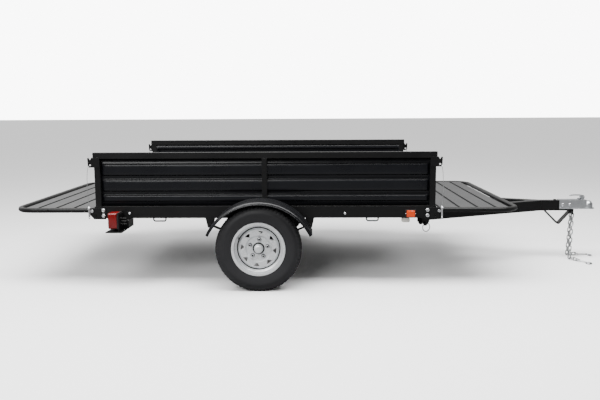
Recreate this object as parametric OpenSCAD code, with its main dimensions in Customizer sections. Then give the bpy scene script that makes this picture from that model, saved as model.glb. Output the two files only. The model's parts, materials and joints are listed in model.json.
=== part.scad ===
// Single-axle utility trailer: steel bed with pressed side walls, a fold-up gate at
// each end, an A-frame tongue with a ball coupler, leaf springs and 12 in wheels.
// Millimetres. +X is forward, +Y is the trailer's left, +Z is up, the ground is z = 0.
// Lengths along the trailer are written from the rear end of the bed; placed() then
// moves them so that the origin is under the middle of the whole outline.

/* [Bed] */
// Length of the bed over its side rails
bed_l = 2180; // [1800:10:2700]
// Width of the bed over its side rails
bed_w = 1560; // [1300:10:1900]
// Height of the side rails' underside above the ground
frame_z = 443; // [430:1:470]
// Height of a side rail
rail_h = 76; // [70:1:90]
// Width of a side rail's flanges
rail_flange = 38; // [34:1:45]
// Steel thickness of a side rail
rail_wall = 4.5; // [3:0.5:6]
// Height of the driving surface above the ground
deck_z = 500; // [496:1:505]
// Number of cross members under the floor
cross_count = 7; // [5:1:9]
// Width of a cross member
cross_w = 50; // [40:1:60]
// Steel thickness of the tubes in the bed
tube_wall = 3; // [2:0.5:4]

/* [Walls] */
// Height of the top of the walls above the ground
wall_top_z = 863; // [800:1:950]
// Side of the square top rail
top_rail = 38; // [32:1:45]
// Side of a square end post
post_w = 36; // [30:1:40]
// Distance from the bed's end to an end post
post_inset = 7; // [6:1:12]
// Width of the flat post half way along a wall
centre_post_w = 32; // [25:1:45]
// Height of one pressed band and the groove below it
band_pitch = 101; // [95:1:105]
// Height of the flat on a pressed band
band_flat = 61; // [50:1:66]
// How far a pressed band stands out of the wall sheet
band_depth = 16; // [10:1:20]
// Thickness of the wall sheet
wall_sheet = 2.5; // [1.5:0.5:3]

/* [Floor and gates] */
// Distance from one plank's edge to the next
plank_pitch = 117; // [90:1:140]
// Width of the groove between two planks
groove_w = 20; // [12:1:26]
// Depth of the groove between two planks
groove_d = 14; // [10:1:16]
// Thickness of the plank steel
plank_sheet = 3; // [2:0.5:4]
// Length of a gate from its hinge to its far edge
gate_l = 535; // [440:5:620]
// Diameter of a gate's tube
gate_tube = 32; // [28:1:34]
// Radius of a gate's corners, to the middle of the tube
gate_corner_r = 120; // [80:5:150]
// Distance from the bed's end to the tube of a gate that is up
gate_clear = 0.5; // [0.3:0.1:3]
// Diameter of the bolts that the gates turn on
hinge_bolt_d = 12; // [10:1:14]

/* [Wheels] */
// Distance from the bed's rear end to the axle
axle_x = 1057; // [950:1:1400]
// Distance from the bed's side to a tyre's middle plane
wheel_out = 95; // [90:1:130]
// Outside diameter of a tyre
tyre_d = 540; // [500:1:560]
// Width of a tyre
tyre_w = 123; // [110:1:135]
// Diameter of the rim at its bead seat
rim_d = 305; // [300:1:310]
// Diameter of the circle that the wheel studs lie on
stud_circle_d = 114.3; // [98:0.1:120]
// Diameter of the axle tube
axle_d = 50; // [45:1:60]
// Diameter of the stub that a hub turns on
spindle_d = 27; // [25:1:32]
// Width of a leaf spring
spring_w = 44; // [38:1:50]
// Distance between a leaf spring's eyes
spring_l = 640; // [600:5:680]

/* [Fenders] */
// Radius of a fender's outside
fender_r = 366; // [350:1:380]
// Width of a fender
fender_w = 199; // [185:1:215]
// Height of a fender's centre of curvature above the ground
fender_z = 208; // [200:1:215]

/* [Tongue] */
// Distance from the bed's front end to where the two tongue members meet
tongue_l = 923; // [800:1:1200]
// Angle of a tongue member to the trailer's centre line
tongue_angle = 24; // [20:1:27]
// Width of a tongue member
tongue_w = 50; // [45:1:60]
// Height of a tongue member
tongue_h = 76; // [70:1:80]
// Steel thickness of the tongue
tongue_wall = 4; // [3:0.5:6]
// Length of the nose beam ahead of the two members
nose_l = 242; // [220:1:300]
// Diameter of the hitch ball that the coupler takes
ball_d = 50.8; // [47:0.1:51]
// Diameter of the chain's wire
chain_d = 7; // [5:0.5:8]
// Inside length of a chain link
chain_pitch = 31.5; // [29:0.5:33]

/* [Hidden] */
$fn = 48;
// Gap left where one piece slides or turns in another
running = 0.05;
// Gap left between pieces that only lie beside each other
seat_gap = 0.3;
// How far a cutting shape reaches past the face it cuts
cut = 1;

bed_half = bed_w / 2;
rail_top_z = frame_z + rail_h;
top_rail_z = wall_top_z - top_rail;
cross_z = frame_z + rail_wall;
cross_h = deck_z - groove_d - cross_z;
post_end = post_inset + post_w;
plate_t = 5;
plate_y = bed_half + plate_t;

// Gates: heights and distances measured from the hinge
pivot_z = 490;
gate_r = gate_tube / 2;
pivot_out = gate_r + gate_clear;
gate_gap = 15;
gate_y = bed_half - gate_gap - gate_r;
gate_wall = 2.5;
gate_first_plank = 20;
gate_planks = 4;
gate_end_gap = 43;
lock_z = 785;
lock_d = 12;
lock_reach = lock_z - pivot_z;

// Wheels and springs
wheel_y = bed_half + wheel_out;
wheel_z = tyre_d / 2;
rim_w = 112;
rim_sheet = 3;
rim_well = 18;
rim_flange_r = rim_d / 2 + 16;
disc_y = wheel_y + 16;
disc_t = 4;
hub_bore_r = spindle_d / 2 + running;
spring_y = bed_half - 28;
spring_eye_z = frame_z - 48;
leaf_t = 6;
leaf_count = 4;
leaf_gap = 0.2;
spring_seat = 6;
spring_low_z = wheel_z + axle_d / 2 + spring_seat;
spring_rise = spring_eye_z - spring_low_z - leaf_t * (leaf_count - 0.5);
spring_r = (pow(spring_l / 2, 2) + pow(spring_rise, 2)) / (2 * spring_rise);

// Pieces bolted to the outside of the rails
lamp_bolt_x = 223;
lamp_bolt_z = frame_z + 32;
lamp_plate_t = 4;
fender_bolt_x = [axle_x - 225, axle_x + 241];
fender_bolt_z = frame_z + 17;
fender_plate_t = 5;
step_bolt_x = bed_l - 579;

// Tongue
apex_x = bed_l + tongue_l;
tongue_z = frame_z - tongue_h;
tongue_end_x = bed_l - 43;
nose_half = tongue_w / 2;
nose_front_x = apex_x + nose_l;
tongue_spread = tongue_w / cos(tongue_angle);
ring_pin_d = 12;
ring_pin_z = tongue_z - 17;
bracket_t = 6;

// Coupler
coupler_x = nose_front_x - 109;
ball_x = nose_front_x + 113;
ball_z = tongue_z + 37;
ball_gap = 0.5;
// Height of the socket's round wall below the ball's centre; the mouth flares below it
ball_wall = 10;
mouth_r = 28.5;
coupler_t = 4;
coupler_half = nose_half + seat_gap + coupler_t;
coupler_top_z = frame_z + seat_gap + coupler_t;
dome_r = 33;
skirt_z = tongue_z + 14;
lever_x = ball_x - 46;
lever_z = coupler_top_z + 19;
lever_pin_r = 4;
clamp_half = 15;
stud_x = ball_x - 73;
clamp_travel = 8;

// Chains: a run of links between points a link's inside length apart, less some slack
link_slack = 0.7;
chain_step = chain_pitch - link_slack;
chain_links = 11;
chain_top = [nose_front_x - 5, 16, tongue_z - 18];
chain_hole_r = chain_d / 2 + 2;
// Height of the first link's wire above the lowest point of its hole
chain_seat = 1.3;
// Each chain hangs from the nose to the ground; its last two links and its hook lie
// there. Vectors are for the left chain and the right one: how it hangs, how it lies
chain_hangs = [[10, 60, -334], [-22, -40, -336]];
chain_lies = [[1, 0, 0], [0.55, -0.835, 0]];
chain_bend_r = chain_d * 1.35;
link_end = (chain_d + link_slack) / 2;
function chain_start(i) = [chain_top[0], (i == 0 ? 1 : -1) * chain_top[1],
    chain_top[2] - chain_hole_r + chain_d / 2 + chain_seat - link_end];
function chain_point(i, n) =
    chain_start(i) + chain_hangs[i] / norm(chain_hangs[i]) * chain_step * n;
function chain_low(i, n) = chain_point(i, chain_links) + [0, 0, link_end]
    + chain_lies[i] * (link_end + n * chain_step);
hook_d = 8;
hook_eye_r = 13;
hook_leave = 290;
hook_shank = 85;
hook_bowl_r = 20;
hook_eye_x = hook_eye_r - (hook_d + link_slack) / 2;
hook_bowl = hook_eye_r * [cos(hook_leave), sin(hook_leave)]
    + hook_shank * [-sin(hook_leave), cos(hook_leave)]
    + hook_bowl_r * [cos(hook_leave), sin(hook_leave)];
hook_reach = hook_eye_x + hook_bowl[0] + hook_bowl_r + hook_d / 2;

// The outline runs from the rear gate's edge to the tip of the left chain's hook
rear_x = -pivot_out - gate_l;
hook_drops = [for (i = [0, 1]) asin((chain_low(i, 2)[2] - hook_d / 2 - seat_gap) / hook_reach)];
hook_tip_x = chain_low(0, 2)[0] + hook_reach * cos(hook_drops[0]);
middle_x = (rear_x + hook_tip_x) / 2;

// Safety cord of a gate pin: points by hand, from its bracket down to its pin, as
// [distance beyond the gate's hinge, distance outside the wall, height]
lanyard_points = [
    [8.5, 1, 779], [8.5, 6, 779], [9.5, 11, 777], [10.5, 14, 772], [12.5, 15, 764],
    [14.5, 15, 750], [17.5, 15, 725], [19.5, 15, 695], [20.5, 15, 660], [20.5, 15, 625],
    [19.5, 15, 595], [18.5, 15, 570], [17.5, 15, 550], [16.5, 15, 535], [16.5, 15, 522]
];
lanyard_d = 3;
lanyard_sides = 8;
pin_top_z = 522;
pin_l = 80;
pin_out = [16.5, 15];

// ---- Helpers ----
module placed() translate([-middle_x, 0, 0]) children();
// The child is drawn on the right side, at -Y, and again on the left
module both_sides() {
    children();
    mirror([0, 1, 0]) children();
}
module left_side() mirror([0, 1, 0]) children();
module front_end() translate([bed_l, 0, 0]) mirror([1, 0, 0]) children();
// The child is drawn at the rear end of the bed and again at the front
module both_ends() {
    children();
    front_end() children();
}
module corners() both_sides() both_ends() children();
module block(low, high) translate(low) cube(high - low);
// An outline in x and z, from y0 to y1
module xz(y0, y1) translate([0, y1, 0]) rotate([90, 0, 0]) linear_extrude(y1 - y0) children();
// An outline in y and z, from x0 to x1
module yz(x0, x1) translate([x0, 0, 0]) rotate([90, 0, 90]) linear_extrude(x1 - x0) children();
module rod_y(x, z, r, y0, y1) translate([x, y1, z]) rotate([90, 0, 0]) cylinder(r = r, h = y1 - y0);
module rod_x(y, z, r, x0, x1) translate([x0, y, z]) rotate([0, 90, 0]) cylinder(r = r, h = x1 - x0);
module hex_y(x, z, across, y0, y1)
    translate([x, y1, z]) rotate([90, 30, 0]) cylinder(d = across / cos(30), h = y1 - y0, $fn = 6);
// A square or oblong tube along X, with open ends
module tube_x(low, high, wall) difference() {
    block(low, high);
    block(low + [-cut, wall, wall], high + [cut, -wall, -wall]);
}
module tube_y(low, high, wall) difference() {
    block(low, high);
    block(low + [wall, -cut, wall], high + [-wall, cut, -wall]);
}
module tube_z(low, high, wall) difference() {
    block(low, high);
    block(low + [wall, wall, -cut], high + [-wall, -wall, cut]);
}

// Side outline of folded planks: planks run from edges[i] to edges[i + 1], with grooves
// on the edges between them and a folded lip at both ends
module plank_outline(edges, top) {
    last = len(edges) - 1;
    for (i = [0 : last - 1]) {
        a = edges[i] + (i == 0 ? 0 : groove_w / 2);
        b = edges[i + 1] - (i == last - 1 ? 0 : groove_w / 2);
        translate([a, top - plank_sheet]) square([b - a, plank_sheet]);
        translate([a, top - groove_d]) square([plank_sheet, groove_d]);
        translate([b - plank_sheet, top - groove_d]) square([plank_sheet, groove_d]);
    }
    for (i = [1 : last - 1])
        translate([edges[i] - groove_w / 2 - plank_sheet, top - groove_d])
            square([groove_w + 2 * plank_sheet, plank_sheet]);
}

// ---- Bed ----
// Bolts through a side rail: [x, z, diameter, thickness clamped outside the rail]
corner_bolt_x = 55;
corner_bolt_z = [frame_z + 51, frame_z + 16];
corner_bolt_d = 12;
rail_bolts = [
    for (x = [corner_bolt_x, bed_l - corner_bolt_x], z = corner_bolt_z)
        [x, z, corner_bolt_d, plate_t],
    [lamp_bolt_x, lamp_bolt_z, 8, lamp_plate_t],
    for (x = fender_bolt_x) [x, fender_bolt_z, 8, fender_plate_t],
    [step_bolt_x, frame_z + 28, 8, 0]
];
module side_channel() difference() {
    yz(0, bed_l) difference() {
        translate([-bed_half, frame_z]) square([rail_flange, rail_h]);
        translate([-bed_half + rail_wall, frame_z + rail_wall])
            square([rail_flange, rail_h - 2 * rail_wall]);
    }
    for (b = rail_bolts)
        rod_y(b[0], b[1], b[2] / 2 + running, -bed_half - cut, -bed_half + rail_wall + cut);
}
module side_rail_right() color("#17181a") placed() side_channel();
module side_rail_left() color("#17181a") placed() left_side() side_channel();

module cross_members() color("#17181a") placed() {
    half = bed_half - rail_wall;
    span = bed_l - 2 * post_inset - cross_w;
    for (i = [0 : cross_count - 1]) {
        x = post_inset + span * i / (cross_count - 1);
        tube_y([x, -half, cross_z], [x + cross_w, half, cross_z + cross_h], tube_wall);
    }
}

module deck_floor() color("#222326") placed() {
    half = bed_half - rail_flange - seat_gap;
    floor_l = bed_l - 2 * post_inset;
    planks = round(floor_l / plank_pitch);
    edges = [for (i = [0 : planks]) post_inset + floor_l * i / planks];
    xz(-half, half) plank_outline(edges, deck_z);
}

// Pressed bands as [lowest, highest] heights of their flats
wall_bands = [
    [rail_top_z + 37, rail_top_z + 63],
    [wall_top_z - 80 - band_pitch - band_flat, wall_top_z - 80 - band_pitch],
    [wall_top_z - 80 - band_flat, wall_top_z - 80]
];
wall_slope = 10;
wall_face = bed_half - 12;
module wall_outline() {
    raised = -wall_face;
    base = raised + band_depth;
    bottom = [[base, rail_top_z]];
    bands = [for (b = wall_bands)
        each [[base, b[0] - wall_slope], [raised, b[0]], [raised, b[1]], [base, b[1] + wall_slope]]];
    outline = concat(bottom, bands, [[base, top_rail_z]]);
    back = [for (i = [len(outline) - 1 : -1 : 0]) outline[i] + [wall_sheet, 0]];
    polygon(concat(outline, back));
}
module wall_panel() {
    press_end = 12;
    yz(post_end + press_end, bed_l - post_end - press_end) wall_outline();
    both_ends() block(
        [post_end, -wall_face + band_depth, rail_top_z],
        [post_end + press_end, -wall_face + band_depth + wall_sheet, top_rail_z]);
}
module wall_panel_right() color("#141517") placed() wall_panel();
module wall_panel_left() color("#141517") placed() left_side() wall_panel();

// Square tubes along the tops of the walls, with a row of small holes inside
rail_hole_pitch = 152;
rail_hole_d = 9;
module top_rails() color("#17181a") placed() both_sides() difference() {
    tube_x([0, -bed_half, top_rail_z], [bed_l, -bed_half + top_rail, wall_top_z], tube_wall);
    holes = floor((bed_l - 2 * rail_hole_pitch) / rail_hole_pitch / 2);
    for (i = [-holes : holes])
        rod_y(bed_l / 2 + i * rail_hole_pitch, wall_top_z - top_rail / 2, rail_hole_d / 2,
            -bed_half + top_rail - tube_wall - cut, -bed_half + top_rail + cut);
}

module wall_posts() color("#17181a") placed() {
    corners() tube_z([post_inset, -bed_half, rail_top_z],
        [post_end, -bed_half + post_w, top_rail_z], tube_wall);
    both_sides() block(
        [bed_l / 2 - centre_post_w / 2, -bed_half, rail_top_z],
        [bed_l / 2 + centre_post_w / 2, -wall_face, top_rail_z]);
}

// Plates at the tops of the posts that the gate pins pass through
module latch_brackets() color("#17181a") placed() corners() difference() {
    xz(-plate_y, -bed_half) polygon([
        [post_end, lock_z - 15], [-pivot_out - 8, lock_z - 15], [-pivot_out - 14, lock_z - 5],
        [-pivot_out - 16, lock_z + 44], [-pivot_out - 9, lock_z + 47], [-pivot_out + 1, lock_z + 31],
        [-pivot_out + 10, lock_z + 47], [post_end, lock_z + 47]
    ]);
    rod_y(-pivot_out, lock_z, lock_d / 2 + running, -plate_y - cut, -bed_half + cut);
    rod_y(-pivot_out - lanyard_points[0][0], lanyard_points[0][2], lanyard_d / 2 + 1, -plate_y - cut,
        -bed_half + cut);
}

// Plates at the bed's corners that the gates hinge on, with a stop tab under the gate
module corner_plates() color("#17181a") placed() corners() {
    difference() {
        xz(-plate_y, -bed_half) polygon([
            [71, frame_z - 6], [71, frame_z + 60], [60, frame_z + 67], [-pivot_out - 2, frame_z + 67],
            [-pivot_out - 14, pivot_z + 8], [-pivot_out - 14, frame_z + 22], [-6, frame_z - 6]
        ]);
        for (z = corner_bolt_z)
            rod_y(corner_bolt_x, z, corner_bolt_d / 2 + running, -plate_y - cut, -bed_half + cut);
        rod_y(-pivot_out, pivot_z, hinge_bolt_d / 2 + running, -plate_y - cut, -bed_half + cut);
        hull() for (z = [-4, 4])
            rod_y(post_inset, frame_z + 16 + z, 4.5, -plate_y - cut, -bed_half + cut, $fn = 32);
    }
    block([-pivot_out - 12, -bed_half, pivot_z - gate_r - seat_gap - plate_t],
        [-pivot_out - 3, -gate_y + gate_r, pivot_z - gate_r - seat_gap]);
}

// Hexagon bolts: those through the side rails and two across the nose
nose_bolt_x = [coupler_x + 27, coupler_x + 80];
nose_bolt_z = tongue_z + 45;
nose_bolt_d = 12;
module frame_bolt(x, z, d, under_head, end) {
    rod_y(x, z, d / 2, under_head, end);
    hex_y(x, z, d * 1.5, under_head - d * 0.6, under_head);
}
module frame_bolts() color("#c9ccd0") placed() {
    both_sides() for (b = rail_bolts)
        frame_bolt(b[0], b[1], b[2], -bed_half - b[3], -bed_half + rail_wall);
    for (x = nose_bolt_x) {
        frame_bolt(x, nose_bolt_z, nose_bolt_d, -coupler_half, coupler_half + 13);
        hex_y(x, nose_bolt_z, nose_bolt_d * 1.5, coupler_half, coupler_half + 10);
    }
}

// ---- Fenders ----
// A fender is a curved shell with a lip turned down along its outer edge
fender_in = plate_y + seat_gap;
fender_out = fender_in + fender_w;
fender_t = 4;
fender_lip = 20;
fender_start = 26;
fender_sweep = 180 - 2 * fender_start;
fender_x = axle_x + 8;
// An outline in [radius, distance from the trailer's middle] swept about the fender's centre
module fender_arc(start, sweep) translate([fender_x, 0, fender_z]) rotate([90, 0, 0])
    rotate([0, 0, start]) rotate_extrude(angle = sweep, $fn = 96) children();
module fender_section() {
    low = fender_r - fender_t;
    translate([low, fender_in]) square([fender_t, fender_w]);
    translate([fender_r - fender_lip, fender_out - fender_t]) square([fender_lip, fender_t]);
}
module fender() fender_arc(fender_start, fender_sweep) fender_section();
module fender_right() color("#1b1c1e") placed() fender();
module fender_left() color("#1b1c1e") placed() left_side() fender();

// Straps under each fender, turned down onto the rail
fender_strap_sweep = 5;
fender_strap_t = 4;
module fender_brackets() color("#17181a") placed() both_sides() for (x = fender_bolt_x) {
    angle = acos((x - fender_x) / (fender_r - fender_t));
    fender_arc(angle - fender_strap_sweep / 2, fender_strap_sweep)
        translate([fender_r - fender_t - seat_gap - fender_strap_t, bed_half])
            square([fender_strap_t, fender_w - 40]);
    difference() {
        block([x - 16, -bed_half - fender_plate_t, fender_bolt_z - 14],
            [x + 16, -bed_half, fender_bolt_z + 24]);
        rod_y(x, fender_bolt_z, 4 + running, -bed_half - fender_plate_t - cut, -bed_half + cut);
    }
}

// ---- Lamps and markers ----
lamp_in = bed_half + 8;
lamp_w = 92;
lamp_x = 176;
lamp_l = 66;
lamp_z = [390, 491];
lamp_base_t = 8;
// A flat strip bent into a guard round the lamp, with a plate on the rail
module tail_lamp_brackets() color("#17181a") placed() both_sides() {
    strip = 4;
    low_z = 366;
    difference() {
        xz(-bed_half - lamp_plate_t, -bed_half) polygon([
            [96, low_z + strip], [198, low_z + strip], [240, 399], [240, lamp_bolt_z + 12],
            [206, lamp_bolt_z + 12], [180, 440], [180, 384], [96, 384]
        ]);
        rod_y(lamp_bolt_x, lamp_bolt_z, 4 + running, -bed_half - lamp_plate_t - cut,
            -bed_half + cut);
        rod_y(lamp_wire_x, lamp_wire_z, loom_d / 2 + seat_gap, -bed_half - lamp_plate_t - cut,
            -bed_half + cut);
    }
    xz(-lamp_in - lamp_w - 6, -bed_half) polygon([
        [92, low_z], [196, low_z], [246, 399], [246, 446], [242, 446], [242, 401],
        [194, low_z + strip], [92, low_z + strip]
    ]);
    difference() {
        block([lamp_x, -lamp_in - lamp_w, low_z + strip], [lamp_x + strip, -bed_half, lamp_z[1] - 8]);
        for (z = lamp_stud_z)
            rod_x(-lamp_in - lamp_w / 2, z, lamp_stud_d / 2 + running, lamp_x - cut,
                lamp_x + strip + cut);
    }
}
lamp_stud_z = [416, 452];
lamp_stud_d = 6;
module tail_lamp_housings() color("#1b1c1e") placed() both_sides() {
    block([lamp_x - lamp_base_t, -lamp_in - lamp_w, lamp_z[0]],
        [lamp_x, -lamp_in, lamp_z[1]]);
    for (z = lamp_stud_z) {
        rod_x(-lamp_in - lamp_w / 2, z, lamp_stud_d / 2, lamp_x - cut, lamp_x + 40);
        rod_x(-lamp_in - lamp_w / 2, z, 7, lamp_x + 4, lamp_x + 10);
    }
}
module tail_lamp_lenses() color("#b3141a") placed() both_sides() difference() {
    block([lamp_x - lamp_l, -lamp_in - lamp_w, lamp_z[0]],
        [lamp_x - lamp_base_t, -lamp_in, lamp_z[1]]);
    block([lamp_x - lamp_l + 3, -lamp_in - lamp_w + 3, lamp_z[0] + 3],
        [lamp_x - lamp_base_t + cut, -lamp_in - 3, lamp_z[1] - 3]);
}

marker_x = [bed_l - 198, bed_l - 127];
marker_z = [frame_z + 2, frame_z + 52];
module marker_bases() color("#1b1c1e") placed() both_sides()
    block([marker_x[0], -bed_half - 6, marker_z[0]], [marker_x[1], -bed_half, marker_z[1]]);
module marker_lenses() color("#e8701c") placed() both_sides() difference() {
    block([marker_x[0] + 9, -bed_half - 22, marker_z[0] + 3],
        [marker_x[1] - 9, -bed_half - 6, marker_z[1] - 3]);
    block([marker_x[0] + 11.5, -bed_half - 19.5, marker_z[0] + 5.5],
        [marker_x[1] - 11.5, -bed_half - 6 + cut, marker_z[1] - 5.5]);
}

// The wires run under the cross members, out to each tail lamp and to a plug by the
// right marker: each leg is a run of straight lengths with round elbows
loom_d = 8;
loom_y = bed_half - 64;
loom_z = cross_z - loom_d / 2 - seat_gap;
loom_front_x = bed_l - post_inset - cross_w - loom_d;
plug_x = [bed_l - 216, bed_l - 166];
plug_y = [bed_half - 34, bed_half - 4];
plug_z = frame_z - 16;
lamp_wire_x = 215;
lamp_wire_z = 434;
module wire(points) for (i = [1 : len(points) - 1]) {
    a = points[i - 1];
    step = points[i] - a;
    translate(a) {
        sphere(d = loom_d);
        if (step[0] != 0) rod_x(0, 0, loom_d / 2, min(0, step[0]), max(0, step[0]));
        else if (step[1] != 0) rod_y(0, 0, loom_d / 2, min(0, step[1]), max(0, step[1]));
        else translate([0, 0, min(0, step[2])]) cylinder(d = loom_d, h = abs(step[2]));
    }
}
module wiring_loom() color("#111113") placed() {
    lamp_y = lamp_in + lamp_w / 2;
    both_sides() wire([
        [loom_front_x, 0, loom_z], [loom_front_x, -loom_y, loom_z],
        [lamp_wire_x, -loom_y, loom_z], [lamp_wire_x, -loom_y, lamp_wire_z],
        [lamp_wire_x, -lamp_y, lamp_wire_z], [lamp_x + lamp_plate_t, -lamp_y, lamp_wire_z]
    ]);
    wire([
        [plug_x[0] + 12, -loom_y, loom_z], [plug_x[0] + 12, -loom_y, plug_z],
        [plug_x[0] + 12, -plug_y[0], plug_z]
    ]);
}
module wiring_connector() color("#a9a8a2") placed() difference() {
    hull() for (x = [plug_x[0] + 8, plug_x[1] - 8], z = [plug_z - 6, plug_z + 6])
        rod_y(x, z, 8, -plug_y[1], -plug_y[0], $fn = 32);
    block([plug_x[1] - 12, -plug_y[1] + 7, plug_z - 7], [plug_x[1] + cut, -plug_y[0] - 7, plug_z + 7]);
}

// ---- Tie-down loops ----
loop_x = [[369, 457], [bed_l - 445, bed_l - 362]];
loop_rod_d = 9;
loop_low_z = frame_z - 25;
loop_bend_r = 12;
module tie_down_loops() color("#17181a") placed() both_sides() for (x = loop_x) {
    y = -bed_half + 12;
    r = loop_rod_d / 2;
    low = loop_low_z + r;
    left = x[0] + r;
    right = x[1] - r;
    for (leg = [left, right])
        translate([leg, y, low + loop_bend_r])
            cylinder(r = r, h = frame_z - low - loop_bend_r);
    rod_x(y, low, r, left + loop_bend_r, right - loop_bend_r);
    for (bend = [[left + loop_bend_r, 180], [right - loop_bend_r, 270]])
        translate([bend[0], y, low + loop_bend_r]) rotate([90, 0, 0])
            rotate([0, 0, bend[1]]) rotate_extrude(angle = 90)
                translate([loop_bend_r, 0]) circle(r = r);
}

// ---- Springs and axle ----
// The leaves are arcs about one centre above the axle, stacked under the eye leaf
spring_centre_z = spring_low_z + leaf_t * (leaf_count - 0.5) + spring_r;
eye_r = 11;
eye_bolt_r = 6;
eye_head = 5;
module leaf_springs() color("#2a2b2d") placed() both_sides() {
    half_angle = asin(spring_l / 2 / spring_r);
    eye_angle = (eye_r - 2) / spring_r * 180 / PI;
    translate([axle_x, 0, spring_centre_z]) rotate([90, 0, 0])
        for (i = [0 : leaf_count - 1]) {
            sweep = (half_angle - eye_angle) * (1 - i * 0.22);
            rotate([0, 0, -90 - sweep]) rotate_extrude(angle = 2 * sweep, $fn = 96)
                translate([spring_r - leaf_t / 2 + i * leaf_t, spring_y - spring_w / 2])
                    square([leaf_t - leaf_gap, spring_w]);
        }
    for (end = [-1, 1]) difference() {
        rod_y(axle_x + end * spring_l / 2, spring_eye_z, eye_r,
            -spring_y - spring_w / 2, -spring_y + spring_w / 2);
        rod_y(axle_x + end * spring_l / 2, spring_eye_z, eye_bolt_r + running,
            -spring_y - spring_w / 2 - cut, -spring_y + spring_w / 2 + cut);
    }
}
hanger_t = 5;
module spring_hangers() color("#17181a") placed() both_sides() for (end = [-1, 1]) {
    x = axle_x + end * spring_l / 2;
    outer = spring_y + spring_w / 2 + seat_gap;
    inner = spring_y - spring_w / 2 - seat_gap;
    for (side = [[-outer - hanger_t, -outer], [-inner, -inner + hanger_t]]) difference() {
        xz(side[0], side[1]) polygon([
            [x - 28, frame_z], [x - 14, spring_eye_z - 14], [x + 14, spring_eye_z - 14],
            [x + 28, frame_z]
        ]);
        rod_y(x, spring_eye_z, eye_bolt_r + running, side[0] - cut, side[1] + cut);
    }
    block([x - 28, -outer, frame_z - hanger_t], [x + 28, -inner, frame_z]);
    rod_y(x, spring_eye_z, eye_bolt_r, -outer - hanger_t, -inner + hanger_t + 10);
    hex_y(x, spring_eye_z, 18, -outer - hanger_t - eye_head, -outer - hanger_t);
}

// The axle tube carries a seat under each spring and a stub for each hub
spindle_r = spindle_d / 2;
hub_in_y = wheel_y - 62;
spindle_end_y = disc_y + 28;
module axle_beam() color("#1b1c1e") placed() {
    difference() {
        rod_y(axle_x, wheel_z, axle_d / 2, -hub_in_y + 1, hub_in_y - 1);
        rod_y(axle_x, wheel_z, axle_d / 2 - 5, -hub_in_y + 20, hub_in_y - 20);
    }
    both_sides() {
        rod_y(axle_x, wheel_z, spindle_r, -spindle_end_y, -hub_in_y + 2);
        rod_y(axle_x, wheel_z, spindle_r + 6, -spindle_end_y - 3, -spindle_end_y);
        difference() {
            block([axle_x - 45, -spring_y - spring_w / 2, wheel_z],
                [axle_x + 45, -spring_y + spring_w / 2, spring_low_z - seat_gap]);
            rod_y(axle_x, wheel_z, axle_d / 2 - cut, -bed_half, -spring_y + spring_w);
        }
    }
}
// Two U-bolts and a top plate hold each spring to its seat
u_bolt_r = 5;
module spring_clamps() color("#8c9095") placed() both_sides() {
    bow_z = spring_low_z + leaf_t * leaf_count + u_bolt_r + 1.5;
    out = spring_w / 2 + u_bolt_r + 1;
    plate_z = wheel_z - axle_d / 2 - seat_gap;
    for (x = [axle_x - 34, axle_x + 34]) {
        for (y = [-spring_y - out, -spring_y + out])
            translate([x, y, plate_z - 24]) {
                cylinder(r = u_bolt_r, h = bow_z - plate_z + 24);
                translate([0, 0, bow_z - plate_z + 24]) sphere(r = u_bolt_r);
            }
        rod_y(x, bow_z, u_bolt_r, -spring_y - out, -spring_y + out);
    }
    block([axle_x - 46, -spring_y - out - 8, plate_z - 8],
        [axle_x + 46, -spring_y + out + 8, plate_z]);
}

// ---- Wheels ----
// Section of a tyre as a hollow carcass open at the bead, [radius, distance from its middle]
module tyre_section() {
    half = tyre_w / 2;
    bead = rim_w / 2 - 7;
    crown = tyre_d / 2;
    base = rim_d / 2 + rim_sheet + seat_gap;
    wall = 9;
    difference() {
        polygon([
            [base, -bead], [base + 12, -bead - 2], [base + 50, -half], [base + 66, -half + 2],
            [crown - 18, -half + 6], [crown - 6, -half + 12], [crown, -half + 24],
            [crown, half - 24], [crown - 6, half - 12], [crown - 18, half - 6],
            [base + 66, half - 2], [base + 50, half], [base + 12, bead + 2], [base, bead]
        ]);
        polygon([
            [base - cut, -bead + wall], [base + 12, -bead + wall], [base + 50, -half + wall],
            [crown - 24, -half + wall + 6], [crown - 13, -half + 30], [crown - 13, half - 30],
            [crown - 24, half - wall - 6], [base + 50, half - wall], [base + 12, bead - wall],
            [base - cut, bead - wall]
        ]);
    }
}
module on_wheel() translate([axle_x, -wheel_y, wheel_z]) rotate([90, 0, 0]) children();
module tyre() on_wheel() rotate_extrude($fn = 96) tyre_section();

// Pressed rim: a well between two bead seats, and a dished disc with windows
window_count = 8;
window_r = 101;
cap_hole_r = 38;
stud_hole_r = 6.5;
module rim_section() {
    seat = rim_d / 2;
    half = rim_w / 2;
    well = seat - rim_well;
    t = rim_sheet;
    polygon([
        [rim_flange_r, -half], [rim_flange_r, -half + t], [seat + t, -half + t],
        [seat, -half + 26], [well, -half + 34], [well, half - 44], [seat, half - 32],
        [seat + t, half - t], [rim_flange_r, half - t], [rim_flange_r, half],
        [seat, half], [seat - t, half - 32], [well - t, half - 44], [well - t, -half + 34],
        [seat - t, -half + 26], [seat, -half]
    ]);
}
module disc_section() {
    face = disc_y - wheel_y;
    well = rim_d / 2 - rim_well - rim_sheet;
    polygon([
        [cap_hole_r, face], [76, face], [86, face + 10], [116, face + 10], [126, face - 2],
        [well + 1, face - 8], [well + 1, face - 8 + disc_t], [128, face + 2],
        [118, face + 10 + disc_t], [84, face + 10 + disc_t], [74, face + disc_t],
        [cap_hole_r, face + disc_t]
    ]);
}
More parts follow.
